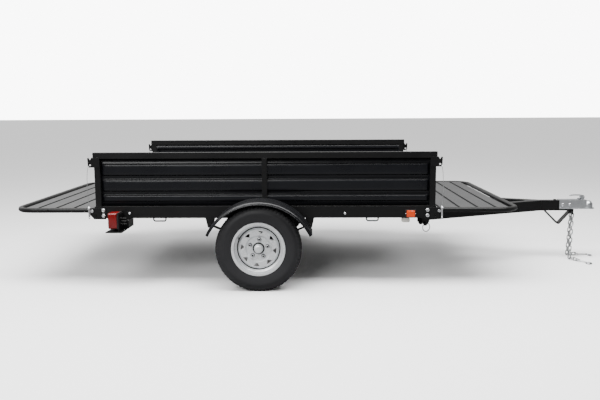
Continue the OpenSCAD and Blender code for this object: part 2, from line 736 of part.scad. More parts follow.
module rim() on_wheel() difference() {
    union() {
        rotate_extrude($fn = 96) rim_section();
        rotate_extrude($fn = 96) disc_section();
    }
    for (i = [0 : 4]) rotate([0, 0, 85 - i * 72])
        translate([stud_circle_d / 2, 0, 0]) cylinder(r = stud_hole_r, h = rim_w);
    for (i = [0 : window_count - 1]) rotate([0, 0, 83.5 - i * 360 / window_count])
        linear_extrude(rim_w) polygon([
            [window_r - 13, 0], [window_r + 8, -18], [window_r + 11, -14], [window_r + 11, 14],
            [window_r + 8, 18]
        ]);
}
hub_flange_t = 9;
module hub() on_wheel() {
    face = disc_y - wheel_y;
    cap_y = spindle_end_y - wheel_y + 5;
    difference() {
        union() {
            translate([0, 0, -60]) cylinder(r = 33, h = face + 60);
            translate([0, 0, face - hub_flange_t]) cylinder(r = 72, h = hub_flange_t);
            translate([0, 0, face - cut]) cylinder(r = 29, h = cap_y - face + cut + 6);
            translate([0, 0, cap_y]) cylinder(r = 26, h = 10);
        }
        translate([0, 0, -60 - cut]) cylinder(r = hub_bore_r, h = cap_y + 60);
        translate([0, 0, spindle_end_y - wheel_y - 0.5]) cylinder(r = spindle_r + 7, h = 6);
    }
    for (i = [0 : 4]) rotate([0, 0, 85 - i * 72]) translate([stud_circle_d / 2, 0, face - hub_flange_t])
        cylinder(r = 6, h = hub_flange_t + disc_t + 18);
}
module lug_nuts() on_wheel() {
    seat = disc_y - wheel_y + disc_t;
    for (i = [0 : 4]) rotate([0, 0, 85 - i * 72]) translate([stud_circle_d / 2, 0, seat]) difference() {
        cylinder(d = 19 / cos(30), h = 15, $fn = 6);
        translate([0, 0, -cut]) cylinder(r = 6 + running, h = 20);
    }
}
module tyre_right() color("#2b2b2c") placed() tyre();
module tyre_left() color("#2b2b2c") placed() left_side() tyre();
module rim_right() color("#b9bcbf") placed() rim();
module rim_left() color("#b9bcbf") placed() left_side() rim();
module hub_right() color("#c4c6c9") placed() hub();
module hub_left() color("#c4c6c9") placed() left_side() hub();
module lug_nuts_right() color("#d0d2d4") placed() lug_nuts();
module lug_nuts_left() color("#d0d2d4") placed() left_side() lug_nuts();

// ---- Gates ----
// Drawn for the rear gate, lying level behind the bed. A gate's own lengths run
// outwards from its hinge
module gate_path(r) {
    tip = -pivot_out - gate_l + gate_r;
    bend = tip + gate_corner_r;
    both_sides() {
        rod_x(-gate_y, pivot_z, r, bend, -pivot_out);
        translate([bend, -gate_y + gate_corner_r, pivot_z])
            rotate([0, 0, 180]) rotate_extrude(angle = 90, $fn = 64)
                translate([gate_corner_r, 0]) circle(r = r);
        rod_y(tip, pivot_z, r, -gate_y + gate_corner_r, 0);
    }
}
module gate_frame() difference() {
    union() {
        difference() {
            gate_path(gate_r);
            difference() {
                gate_path(gate_r - gate_wall);
                block([-pivot_out - gate_r, -bed_half, 0], [bed_l, bed_half, wall_top_z]);
            }
        }
        both_sides() rod_y(-pivot_out, pivot_z, gate_r, -gate_y - gate_r, -gate_y + gate_r);
    }
    both_sides() {
        rod_y(-pivot_out, pivot_z, hinge_bolt_d / 2 + running, -bed_half, -gate_y + gate_tube);
        rod_y(-pivot_out - lock_reach, pivot_z, lock_d / 2 + running, -bed_half, -gate_y + gate_tube);
    }
}
// The space inside the bent tube, seen from above
module gate_inside() {
    r = gate_corner_r - gate_r - seat_gap;
    half = gate_y - gate_r - seat_gap;
    bend = -pivot_out - gate_l + gate_r + gate_corner_r;
    polygon([
        [bend + gate_l, half],
        for (a = [90 : 7.5 : 180]) [bend + r * cos(a), half - r + r * sin(a)],
        for (a = [180 : 7.5 : 270]) [bend + r * cos(a), r - half + r * sin(a)],
        [bend + gate_l, -half]
    ]);
}
module gate_panel() {
    half = gate_y - gate_r - seat_gap;
    last = gate_l - gate_tube - gate_end_gap;
    edges = [gate_first_plank, for (i = [1 : gate_planks - 1])
        min(i * plank_pitch + gate_first_plank + 5, last - 40), last];
    intersection() {
        translate([-pivot_out, 0, 0]) mirror([1, 0, 0]) xz(-half, half) plank_outline(edges, deck_z);
        translate([0, 0, pivot_z - gate_r]) linear_extrude(gate_tube) gate_inside();
    }
}
module gate_frame_rear() color("#17181a") placed() gate_frame();
module gate_panel_rear() color("#4a4c50") placed() gate_panel();
module gate_frame_front() color("#17181a") placed() front_end() gate_frame();
module gate_panel_front() color("#4a4c50") placed() front_end() gate_panel();

// Bolts that the gates turn on, each with a bush between its plate and the gate
module gate_hinge_bolts() color("#9a9da1") placed() corners() {
    r = hinge_bolt_d / 2;
    rod_y(-pivot_out, pivot_z, r, -plate_y, -gate_y + gate_r + seat_gap + 9);
    hex_y(-pivot_out, pivot_z, 19, -plate_y - 8, -plate_y);
    hex_y(-pivot_out, pivot_z, 19, -gate_y + gate_r + seat_gap, -gate_y + gate_r + seat_gap + 9);
    difference() {
        rod_y(-pivot_out, pivot_z, r + 4, -bed_half, -gate_y - gate_r - seat_gap);
        rod_y(-pivot_out, pivot_z, r + running, -bed_half - cut, -gate_y);
    }
}

// ---- Tongue ----
// Outline of a tongue member seen from above, drawn in by a wall on both long sides
module member_outline(wall, back) {
    slope = tan(tongue_angle);
    inset = wall / cos(tongue_angle);
    side = nose_half + (wall > 0 ? wall : 0);
    outer = function(x) nose_half + (apex_x - x) * slope - inset;
    inner = function(x) outer(x) - tongue_spread + 2 * inset;
    polygon([
        [back, -outer(back)], [apex_x - (side - nose_half + inset) / slope, -side],
        [apex_x - (side - nose_half + tongue_spread - inset) / slope, -side],
        [back, -inner(back)]
    ]);
}
member_y = function(x) nose_half + (apex_x - x) * tan(tongue_angle) - tongue_spread / 2;
module tongue_members() color("#141517") placed() both_sides() difference() {
    translate([0, 0, tongue_z]) linear_extrude(tongue_h) member_outline(0, tongue_end_x);
    translate([0, 0, tongue_z + tongue_wall])
        linear_extrude(tongue_h - 2 * tongue_wall) member_outline(tongue_wall, tongue_end_x - cut);
}
nose_back_x = apex_x - tongue_spread / sin(tongue_angle) * cos(tongue_angle);
module nose_beam() color("#141517") placed() difference() {
    union() {
        tube_x([nose_back_x, -nose_half, tongue_z], [nose_front_x, nose_half, frame_z], tongue_wall);
        block([coupler_x - 33, -10, frame_z], [coupler_x - 18, 10, frame_z + 7]);
        block([nose_front_x - 9, -nose_half, chain_top[2] - 12],
            [nose_front_x - 1, nose_half, tongue_z + cut]);
    }
    for (x = nose_bolt_x)
        rod_y(x, nose_bolt_z, nose_bolt_d / 2 + running, -nose_half - cut, nose_half + cut);
    for (y = [-chain_top[1], chain_top[1]])
        rod_x(y, chain_top[2], chain_hole_r, nose_front_x - 12, nose_front_x + cut);
}

// A saddle under the front cross member holds the back end of each tongue member. It
// lies along the member, with a ring pin below and a bolt across
saddle_l = 58;
saddle_low_z = frame_z - 112;
module at_saddle() translate([tongue_end_x + saddle_l / 2 * cos(tongue_angle) - 4,
    -member_y(tongue_end_x + saddle_l / 2 * cos(tongue_angle) - 4), 0])
    rotate([0, 0, tongue_angle]) children();
module tongue_brackets() color("#17181a") placed() both_sides() at_saddle() {
    half = tongue_w / 2 + seat_gap;
    for (side = [-1, 1]) difference() {
        translate([0, side * (half + bracket_t / 2), 0]) xz(-bracket_t / 2, bracket_t / 2) polygon([
            [-saddle_l / 2, cross_z], [-saddle_l / 2, saddle_low_z + 26],
            [-saddle_l / 2 + 20, saddle_low_z], [saddle_l / 2 - 20, saddle_low_z],
            [saddle_l / 2, saddle_low_z + 26], [saddle_l / 2, cross_z]
        ]);
        rod_y(0, ring_pin_z, ring_pin_d / 2 + running, -half - 2 * bracket_t, half + 2 * bracket_t);
    }
}
// A straight pin that draws out sideways, with a pull ring hanging from its head
ring_pin_reach = tongue_w / 2 + bracket_t + seat_gap;
pull_ring_r = 29;
pull_ring_wire = 5;
module ring_pin() at_saddle() {
    head_l = 14;
    head_y = -ring_pin_reach - seat_gap;
    ring_y = head_y - head_l / 2;
    rod_y(0, ring_pin_z, ring_pin_d / 2, head_y, ring_pin_reach + 10);
    difference() {
        rod_y(0, ring_pin_z, 9, head_y - head_l, head_y);
        rod_x(ring_y, ring_pin_z, 4.5, -10, 10);
    }
    translate([0, ring_y, ring_pin_z - pull_ring_r]) rotate([90, 0, 0])
        rotate_extrude() translate([pull_ring_r, 0]) circle(d = pull_ring_wire);
}
module ring_pin_right() color("#17181a") placed() ring_pin();
module ring_pin_left() color("#17181a") placed() left_side() ring_pin();

// A folded strap under the nose that the tongue rests on when unhitched
foot_half = 25;
module support_foot() color("#17181a") placed() xz(-foot_half, foot_half) {
    t = 6;
    low = tongue_z - 102;
    middle = apex_x + 134;
    left = apex_x + 28;
    right = nose_front_x - 14;
    difference() {
        polygon([
            [left, tongue_z], [middle - 6, low], [middle + 6, low], [right, tongue_z]
        ]);
        polygon([
            [left + t * 1.5, tongue_z + cut], [left + t * 1.5, tongue_z], [middle, low + t],
            [right - t * 1.5, tongue_z], [right - t * 1.5, tongue_z + cut]
        ]);
    }
}

// ---- Coupler ----
// A pressed channel over the nose beam that closes into a dome over the hitch ball
module coupler_body() color("#b4b7ba") placed() difference() {
    flange = 12;
    lever_half = 13;
    union() {
        block([coupler_x, -coupler_half, skirt_z], [ball_x - 22, coupler_half, coupler_top_z]);
        translate([ball_x, 0, skirt_z]) cylinder(r = dome_r, h = ball_z + 4 - skirt_z);
        translate([ball_x, 0, ball_z + 4]) sphere(r = dome_r);
        block([coupler_x, -coupler_half - flange, skirt_z],
            [ball_x, coupler_half + flange, skirt_z + 5]);
        translate([ball_x, 0, skirt_z]) cylinder(r = dome_r + flange, h = 5);
        both_sides() block([lever_x - 11, lever_half + seat_gap, coupler_top_z - cut],
            [lever_x + 11, lever_half + seat_gap + 4, lever_z + 9]);
    }
    block([coupler_x - cut, -nose_half - seat_gap, skirt_z - cut],
        [ball_x - 58, nose_half + seat_gap, frame_z + seat_gap]);
    block([ball_x - 59, -nose_half - seat_gap, skirt_z - cut],
        [ball_x - 22, nose_half + seat_gap, ball_z + 32]);
    block([ball_x - 23, -clamp_half - seat_gap, skirt_z - cut],
        [ball_x, clamp_half + seat_gap, ball_z + 11]);
    block([ball_x - dome_r, -dome_r, 0], [ball_x + dome_r, dome_r, skirt_z]);
    translate([ball_x, 0, ball_z]) sphere(d = ball_d + 2 * ball_gap);
    translate([ball_x, 0, ball_z - ball_wall - cut])
        cylinder(d = ball_d + 2 * ball_gap, h = ball_wall + cut);
    translate([ball_x, 0, skirt_z - cut])
        cylinder(r1 = mouth_r, r2 = ball_d / 2 + ball_gap, h = ball_z - ball_wall - skirt_z + cut);
    for (x = nose_bolt_x)
        rod_y(x, nose_bolt_z, nose_bolt_d / 2 + running, -coupler_half - cut, coupler_half + cut);
    rod_y(lever_x, lever_z, lever_pin_r + running, -bed_half, bed_half);
    for (x = [stud_x - clamp_travel, stud_x])
        translate([x, 0, ball_z]) cylinder(r = 5.5, h = 80);
    block([stud_x - clamp_travel, -5.5, ball_z + 20], [stud_x, 5.5, wall_top_z]);
}
module coupler_lever() color("#9fa2a5") placed() {
    half = 13;
    difference() {
        xz(-half, half) {
            translate([lever_x, lever_z]) circle(r = 15);
            polygon([
                [lever_x, lever_z + 15], [lever_x - 18, lever_z + 17], [lever_x - 70, lever_z + 18],
                [lever_x - 94, lever_z + 10], [lever_x - 94, lever_z + 7], [lever_x - 70, lever_z + 12],
                [lever_x - 14, lever_z + 11], [lever_x - 10, lever_z]
            ]);
        }
        rod_y(lever_x, lever_z, lever_pin_r + running, -half - cut, half + cut);
    }
    rod_y(lever_x, lever_z, lever_pin_r, -half - 9, half + 9);
}
module ball_clamp() color("#8f9296") placed() {
    difference() {
        block([stud_x - 9, -clamp_half, ball_z - 19], [ball_x - 20, clamp_half, ball_z + 9]);
        translate([ball_x, 0, ball_z]) sphere(d = ball_d + 2 * ball_gap + 1);
        translate([ball_x, 0, ball_z - ball_wall - 1])
            cylinder(d = ball_d + 2 * ball_gap + 1, h = ball_wall + 10 + cut);
    }
    translate([stud_x, 0, ball_z + 9 - cut]) cylinder(r = 5, h = coupler_top_z - ball_z + 4);
    translate([stud_x, 0, coupler_top_z + seat_gap]) cylinder(d = 17 / cos(30), h = 8, $fn = 6);
}

// ---- Safety chains ----
// A link along X, broad along Y, whose end wires meet the next links' at 0 and chain_step
module link() {
    straight = chain_step + 2 * link_end - 2 * chain_bend_r;
    translate([chain_step / 2, 0, 0]) for (side = [0, 180]) rotate([0, 0, side]) {
        translate([straight / 2, 0, 0]) rotate([0, 0, -90])
            rotate_extrude(angle = 180) translate([chain_bend_r, 0]) circle(d = chain_d);
        rod_x(chain_bend_r, 0, chain_d / 2, -straight / 2, straight / 2);
    }
}
// The first link passes through its hole along X, and the chain twists a little on its way
// down, so that the last hanging link faces the way that the lying ones point
module safety_chain(i) {
    way = chain_hangs[i] / norm(chain_hangs[i]);
    tilt_x = asin(way[1]);
    tilt_y = asin(-way[0] / cos(tilt_x));
    heading = atan2(chain_lies[i][1], chain_lies[i][0]);
    for (n = [1 : chain_links])
        translate(chain_point(i, n - 1)) rotate([0, tilt_y, 0]) rotate([tilt_x, 0, 0])
            rotate([0, 90, heading * (n - 1) / (chain_links - 1) + 90 * n]) link();
    for (n = [1, 2])
        translate(chain_low(i, n - 1)) rotate([0, 0, heading]) rotate([(n - 1) * 90, 0, 0]) link();
}
module safety_chain_left() color("#a9acb0") placed() safety_chain(0);
module safety_chain_right() color("#a9acb0") placed() safety_chain(1);

// An S-shaped hook of round wire: an eye, a slanted shank and an open bowl, with a
// thicker collar at each end of the shank
module wire_arc(centre, r, start, sweep) translate(centre) rotate([0, 0, start])
    rotate_extrude(angle = sweep) translate([r, 0]) circle(d = hook_d);
module chain_hook() {
    leave = hook_eye_r * [cos(hook_leave), sin(hook_leave)];
    wire_arc([0, 0, 0], hook_eye_r, 20, hook_leave - 20);
    wire_arc([hook_bowl[0], hook_bowl[1], 0], hook_bowl_r, -130, hook_leave - 50);
    translate([leave[0], leave[1], 0]) rotate([0, 0, hook_leave - 270]) {
        rod_x(0, 0, hook_d / 2, 0, hook_shank);
        for (x = [0, hook_shank]) rod_x(0, 0, hook_d / 2 + 1, x - 3, x + 3);
    }
}
module chain_hooks() color("#a9acb0") placed() for (i = [0, 1]) {
    translate(chain_low(i, 2)) rotate([0, hook_drops[i], atan2(chain_lies[i][1], chain_lies[i][0])])
        translate([hook_eye_x, 0, 0]) chain_hook();
}

// ---- Gate pins and their cords ----
// A round tube of a few sides through a list of points
module cord(points, d, sides) {
    last = len(points) - 1;
    ring = function(i) let (
        along = points[min(i + 1, last)] - points[max(i - 1, 0)],
        way = along / norm(along),
        u = cross(way, [1, 0, 0]) / norm(cross(way, [1, 0, 0])),
        v = cross(way, u)
    ) [for (k = [0 : sides - 1])
        points[i] + d / 2 * (cos(360 * k / sides) * u + sin(360 * k / sides) * v)];
    vertices = [for (i = [0 : last]) each ring(i)];
    faces = concat(
        [[for (k = [0 : sides - 1]) k]],
        [for (i = [0 : last - 1], k = [0 : sides - 1]) let (n = (k + 1) % sides)
            [i * sides + k, (i + 1) * sides + k, (i + 1) * sides + n, i * sides + n]],
        [[for (k = [sides - 1 : -1 : 0]) last * sides + k]]
    );
    polyhedron(vertices, faces);
}
module lanyard() cord(
    [for (p = lanyard_points) [-pivot_out - p[0], -bed_half - p[1], p[2]]],
    lanyard_d, lanyard_sides);
// A quick-release pin: a head with a finger ring, a groove and a blunt point
module gate_pin() translate([-pivot_out - pin_out[0], -bed_half - pin_out[1], pin_top_z - pin_l]) {
    rotate_extrude() polygon([
        [0, 0], [3, 0], [5.5, 6], [5.5, 9], [4.5, 10], [4.5, 14], [5.5, 15], [5.5, pin_l - 22],
        [8, pin_l - 22], [9, pin_l - 20], [9, pin_l - 9], [6, pin_l - 6], [4, pin_l - seat_gap],
        [0, pin_l - seat_gap]
    ]);
    translate([0, 0, pin_l - 15]) rotate([0, 90, 0])
        rotate_extrude(angle = 180) translate([13, 0]) circle(d = 3);
}
module lanyard_rear_right() color("#8f9296") placed() lanyard();
module lanyard_rear_left() color("#8f9296") placed() left_side() lanyard();
module lanyard_front_right() color("#8f9296") placed() front_end() lanyard();
module lanyard_front_left() color("#8f9296") placed() left_side() front_end() lanyard();
module gate_pin_rear_right() color("#c9ccd0") placed() gate_pin();
module gate_pin_rear_left() color("#c9ccd0") placed() left_side() gate_pin();
module gate_pin_front_right() color("#c9ccd0") placed() front_end() gate_pin();
module gate_pin_front_left() color("#c9ccd0") placed() left_side() front_end() gate_pin();

side_rail_right();
side_rail_left();
cross_members();
deck_floor();
wall_panel_right();
wall_panel_left();
top_rails();
wall_posts();
latch_brackets();
corner_plates();
frame_bolts();
fender_right();
fender_left();
fender_brackets();
tail_lamp_brackets();
tail_lamp_housings();
tail_lamp_lenses();
marker_bases();
marker_lenses();
tie_down_loops();
tongue_members();
nose_beam();
tongue_brackets();
coupler_body();
support_foot();
safety_chain_right();
safety_chain_left();
chain_hooks();
wiring_loom();
wiring_connector();
leaf_springs();
spring_hangers();
gate_hinge_bolts();
lanyard_rear_right();
lanyard_rear_left();
lanyard_front_right();
lanyard_front_left();
gate_pin_rear_right();
gate_pin_rear_left();
gate_pin_front_right();
gate_pin_front_left();
axle_beam();
spring_clamps();
tyre_right();
tyre_left();
rim_right();
rim_left();
hub_right();
hub_left();
lug_nuts_right();
lug_nuts_left();
gate_frame_rear();
gate_panel_rear();
gate_frame_front();
gate_panel_front();
coupler_lever();
ball_clamp();
ring_pin_right();
ring_pin_left();
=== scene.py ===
"""Single-axle utility trailer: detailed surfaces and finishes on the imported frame.

Metres, +X forward, +Z up. Each piece takes its place from the frame's own nodes and joints.
"""
import json
import math

import bmesh
import bpy
import numpy as np
from mathutils import Matrix, Vector


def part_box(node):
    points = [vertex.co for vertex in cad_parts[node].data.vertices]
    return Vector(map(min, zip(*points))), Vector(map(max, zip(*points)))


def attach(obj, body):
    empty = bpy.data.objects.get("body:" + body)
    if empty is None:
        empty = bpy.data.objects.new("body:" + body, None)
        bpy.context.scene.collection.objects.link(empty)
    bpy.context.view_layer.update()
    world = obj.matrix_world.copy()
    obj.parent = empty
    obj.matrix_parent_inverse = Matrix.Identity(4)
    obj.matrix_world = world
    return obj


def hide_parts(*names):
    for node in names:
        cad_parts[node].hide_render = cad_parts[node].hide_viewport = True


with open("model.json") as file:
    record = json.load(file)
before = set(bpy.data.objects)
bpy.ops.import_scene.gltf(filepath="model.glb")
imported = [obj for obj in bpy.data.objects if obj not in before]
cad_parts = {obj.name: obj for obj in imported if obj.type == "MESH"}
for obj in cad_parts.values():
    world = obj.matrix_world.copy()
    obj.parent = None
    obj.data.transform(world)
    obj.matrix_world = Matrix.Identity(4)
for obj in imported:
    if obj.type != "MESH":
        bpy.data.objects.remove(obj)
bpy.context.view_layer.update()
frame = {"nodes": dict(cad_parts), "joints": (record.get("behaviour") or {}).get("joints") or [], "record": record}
nodes = frame["nodes"]
joints = {joint["name"]: joint for joint in frame["joints"]}
SIDES = {"right": -1, "left": 1}
ENDS = {"rear": -1, "front": 1}

BED_LOW, BED_HIGH = (np.array(corner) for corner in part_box("side_rail_right"))
BED_REAR, BED_FRONT = BED_LOW[0], BED_HIGH[0]
BED_HALF = -BED_LOW[1]
AXLE_X, WHEEL_Y, AXLE_Z = joints["right_wheel_spin"]["pos_m"]
WHEEL_Y = abs(WHEEL_Y)


# ---- Camera, floor and light ----
def make_camera():
    """The camera stands off the right side, 4.9 m from the centre plane, and looks a
    little down and to the left."""
    data = bpy.data.cameras.new("camera")
    data.sensor_width = 36
    data.lens = 39.26
    camera = bpy.data.objects.new("camera", data)
    bpy.context.scene.collection.objects.link(camera)
    place = Matrix.Translation((BED_REAR + 1.4011, -4.8974, 1.145))
    turn = Matrix.Rotation(math.radians(1.197), 4, "Z")
    tilt = Matrix.Rotation(math.radians(90 - 8.105), 4, "X")
    roll = Matrix.Rotation(math.radians(-0.306), 4, "Z")
    camera.matrix_world = place @ turn @ tilt @ roll
    bpy.context.scene.camera = camera


def area_light(name, place, aim, size, power):
    """A rectangular soft light at place, turned to face aim."""
    data = bpy.data.lights.new(name, "AREA")
    data.shape = "RECTANGLE"
    data.size, data.size_y = size
    data.energy = power
    lamp = bpy.data.objects.new(name, data)
    bpy.context.scene.collection.objects.link(lamp)
    lamp.location = place
    lamp.rotation_euler = (Vector(aim) - Vector(place)).to_track_quat("-Z", "Y").to_euler()


FLOOR_REACH = 60.0
FLOOR_DIM, FLOOR_PALE = (0.2, 0.2, 0.2, 1), (0.97, 0.97, 0.97, 1)


def make_studio():
    """A pale floor that runs far behind the trailer, a sky and two soft lights. The floor
    is pale to the camera and dim in reflections, so that black paint stays black."""
    floor = bpy.data.meshes.new("studio_floor")
    corners = [(-1, -1), (1, -1), (1, 1), (-1, 1)]
    floor.from_pydata([(x * FLOOR_REACH, y * FLOOR_REACH, 0) for x, y in corners],
                      [], [(0, 1, 2, 3)])
    ground = bpy.data.objects.new("studio_floor", floor)
    bpy.context.scene.collection.objects.link(ground)
    matte = bpy.data.materials.new("studio_floor")
    matte.use_nodes = True
    shader = matte.node_tree.nodes["Principled BSDF"]
    seen = add(matte.node_tree, "ShaderNodeLightPath").outputs["Is Camera Ray"]
    tone = mix_colour(matte.node_tree, seen, FLOOR_DIM, FLOOR_PALE)
    feed(matte.node_tree, shader.inputs["Base Color"], tone)
    shader.inputs["Roughness"].default_value = 0.9
    floor.materials.append(matte)
    make_sky()
    area_light("overhead", (0, -1.5, 4.2), (0, -0.6, 0.5), (6.5, 2.2), 620)
    area_light("front_soft", (-2.5, -5.5, 3.4), (0, 0, 0.4), (3.5, 2.0), 260)


def make_sky():
    """A pale sky, brightest overhead and dimmest towards the trailer's right side. What the
    camera sees of it directly is plain white."""
    world = bpy.data.worlds.new("studio")
    world.use_nodes = True
    tree = world.node_tree
    tree.nodes.clear()
    way = add(tree, "ShaderNodeTexCoord").outputs["Generated"]
    way = add(tree, "ShaderNodeSeparateXYZ", {0: way}).outputs
    light = None
    for axis, start, end, low, high in (("Z", -0.1, 0.9, 0.3, 1.9), ("Y", -1.0, 0.5, 0.25, 1.3),
                                        ("X", -0.4, 0.5, 1.3, 0.5)):
        ramp = add(tree, "ShaderNodeMapRange", {"Value": way[axis], "From Min": start,
                                                "From Max": end, "To Min": low,
                                                "To Max": high}).outputs[0]
        light = ramp if light is None else math_node(tree, "MULTIPLY", light, ramp)
    sky = add(tree, "ShaderNodeBackground", {"Strength": light})
    seen = add(tree, "ShaderNodeBackground", {"Color": (1, 1, 1, 1), "Strength": 9.0})
    which = add(tree, "ShaderNodeLightPath").outputs["Is Camera Ray"]
    both = add(tree, "ShaderNodeMixShader", {0: which, 1: sky.outputs[0], 2: seen.outputs[0]})
    out = tree.nodes.new("ShaderNodeOutputWorld")
    tree.links.new(both.outputs[0], out.inputs["Surface"])
    bpy.context.scene.world = world


# ---- Mesh helpers ----
def add_object(name, points, faces):
    """A smooth-shaded object at the origin, from points in metres and the faces' indices."""
    mesh = bpy.data.meshes.new(name)
    mesh.from_pydata(np.asarray(points).reshape(-1, 3).tolist(), [], faces)
    mesh.update()
    mesh.polygons.foreach_set("use_smooth", [True] * len(mesh.polygons))
    piece = bpy.data.objects.new(name, mesh)
    bpy.context.scene.collection.objects.link(piece)
    return piece


def grid_faces(rows, columns, wrap_rows=False, wrap_columns=False, start=0):
    """Quads between neighbouring points of a rows by columns grid, wrapped where asked."""
    r = np.arange(rows if wrap_rows else rows - 1)
    c = np.arange(columns if wrap_columns else columns - 1)
    a, b = np.meshgrid(r, c, indexing="ij")
    a2, b2 = (a + 1) % rows, (b + 1) % columns
    quads = np.stack([a * columns + b, a * columns + b2, a2 * columns + b2, a2 * columns + b], -1)
    return (quads.reshape(-1, 4) + start).tolist()


def tube_faces(rows, count):
    """Quads round a tube of rows rings with count points each, and a face over each end."""
    last = (rows - 1) * count
    return (grid_faces(rows, count, False, True)
            + [list(range(count)), list(range(last, last + count))])


def outward(piece):
    """Turns every face of a closed piece outwards."""
    work = bmesh.new()
    work.from_mesh(piece.data)
    bmesh.ops.recalc_face_normals(work, faces=work.faces)
    work.to_mesh(piece.data)
    work.free()
    return piece


def revolve(name, profile, centre, axis, count=64, closed=False):
    """A surface of revolution: profile is [radius, distance along axis], turned about the
    line through centre along axis. An open profile starts and ends on the axis."""
    axis = np.array(axis, float) / np.linalg.norm(axis)
    side = np.cross(axis, [0.3, 0.2, 1.0])
    side /= np.linalg.norm(side)
    other = np.cross(axis, side)
    angle = np.linspace(0, 2 * np.pi, count, endpoint=False)
    ring = np.outer(np.cos(angle), side) + np.outer(np.sin(angle), other)
    profile = np.array(profile, float)
    inner = profile if closed else profile[1:-1]
    points = inner[:, 0, None, None] * ring + inner[:, 1, None, None] * axis
    rows = len(inner)
    faces = grid_faces(rows, count, closed, True)
    points = points.reshape(-1, 3)
    if not closed:
        poles = profile[[0, -1], 1, None] * axis
        points = np.vstack([points, poles])
        low, high = rows * count, rows * count + 1
        last = (rows - 1) * count
        for i in range(count):
            j = (i + 1) % count
            faces.append((low, j, i))
            faces.append((high, last + i, last + j))
    return outward(add_object(name, points + np.array(centre), faces))


def join(name, pieces):
    """Several pieces as one mesh object."""
    points, faces, start = [], [], 0
    for piece in pieces:
        mesh = piece.data
        co = np.zeros(len(mesh.vertices) * 3)
        mesh.vertices.foreach_get("co", co)
        points.append(co.reshape(-1, 3))
        faces += [[v + start for v in face.vertices] for face in mesh.polygons]
        start += len(mesh.vertices)
        bpy.data.objects.remove(piece)
    return add_object(name, np.vstack(points), faces)


def rounded_outline(half_u, half_v, radius, steps=6):
    """A rectangle's outline with round corners, as points [u, v] about its middle."""
    corners = []
    for i, (su, sv) in enumerate([(1, 1), (-1, 1), (-1, -1), (1, -1)]):
        angle = np.radians(90 * i + np.linspace(0, 90, steps))
        corners.append(np.stack([su * (half_u - radius) + radius * np.cos(angle),
                                 sv * (half_v - radius) + radius * np.sin(angle)], -1))
    return np.vstack(corners)


def soft_block(name, low, high, axis, corner, edge, steps=5):
    """A block with an outline rounded by corner and its faces along axis rounded by edge:
    the outline is drawn in by edge * (1 - cos) as it rises the last edge * sin."""
    low, high = np.array(low, float), np.array(high, float)
    middle, half = (low + high) / 2, (high - low) / 2
    u, v = [k for k in range(3) if k != axis]
    turn = np.radians(np.linspace(0, 90, steps))
    top = [(edge * (1 - math.cos(t)), half[axis] - edge + edge * math.sin(t)) for t in turn]
    bottom = [(inset, -height) for inset, height in reversed(top)]
    rows = []
    for inset, height in bottom + top:
        outline = rounded_outline(half[u] - inset, half[v] - inset, max(corner - inset, 0.0003))
        ring = np.zeros((len(outline), 3))
        ring[:, u], ring[:, v], ring[:, axis] = outline[:, 0], outline[:, 1], height
        rows.append(ring + middle)
    count = len(rows[0])
    return outward(add_object(name, np.vstack(rows), tube_faces(len(rows), count)))


def finish_piece(piece, body, slot, *stands_for):
    """Gives a piece its body, its finish and the nodes it stands for."""
    piece.data.materials.clear()
    piece.data.materials.append(FINISHES[slot])
    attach(piece, body)
    if stands_for:
        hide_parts(*stands_for)


def smoothstep(x):
    """0 below 0, 1 above 1 and 3x^2 - 2x^3 between."""
    x = np.clip(x, 0, 1)
    return x * x * (3 - 2 * x)


# ---- Shader helpers ----
def add(tree, kind, inputs=None, **settings):
    """A shader node with its settings and inputs, where an input is a value or a socket."""
    made = tree.nodes.new(kind)
    for key, value in settings.items():
        setattr(made, key, value)
    for key, value in (inputs or {}).items():
        if isinstance(value, bpy.types.NodeSocket):
            tree.links.new(value, made.inputs[key])
        else:
            made.inputs[key].default_value = value
    return made


def math_node(tree, operation, a, b=0.0, clamp=False):
    """One step of arithmetic on two values."""
    return add(tree, "ShaderNodeMath", {0: a, 1: b}, operation=operation,
               use_clamp=clamp).outputs[0]


def lift(colour, gain):
    """A colour made gain times as bright, to no more than 1, with its alpha."""
    return (*(min(1, channel * gain) for channel in colour), 1)


def mix_colour(tree, factor, a, b):
    """Colour a where factor is 0 and colour b where it is 1."""
    made = add(tree, "ShaderNodeMix", data_type="RGBA")
    for key, value in (("Factor", factor), ("A", a), ("B", b)):
        socket = [s for s in made.inputs if s.name == key and s.enabled][0]
        if isinstance(value, bpy.types.NodeSocket):
            tree.links.new(value, socket)
        else:
            socket.default_value = value
    return [s for s in made.outputs if s.enabled][0]


def spread(tree, value, low, high):
    """Maps 0..1 to low..high."""
    return add(tree, "ShaderNodeMapRange",
               {"Value": value, "To Min": low, "To Max": high}).outputs[0]


def bump(tree, height, distance, strength, normal=None):
    """A Bump node's normal: relief of distance metres over height, on top of normal."""
    under = {} if normal is None else {"Normal": normal}
    return add(tree, "ShaderNodeBump", {"Height": height, "Distance": distance,
                                        "Strength": strength, **under}).outputs[0]


def here(tree):
    """The surface point in the object's own coordinates."""
    return add(tree, "ShaderNodeTexCoord").outputs["Object"]


def feed(tree, socket, value):
    """Links a value to a socket."""
    tree.links.new(value, socket)


def new_group(name, inputs, outputs):
    """A shader node group with number inputs and the outputs named, empty inside."""
    tree = bpy.data.node_groups.new(name, "ShaderNodeTree")
    for label, default in inputs.items():
        made = tree.interface.new_socket(label, in_out="INPUT", socket_type="NodeSocketFloat")
        made.default_value = default
    for label, kind in outputs.items():
        tree.interface.new_socket(label, in_out="OUTPUT", socket_type=kind)
    return tree, tree.nodes.new("NodeGroupInput").outputs, tree.nodes.new("NodeGroupOutput").inputs


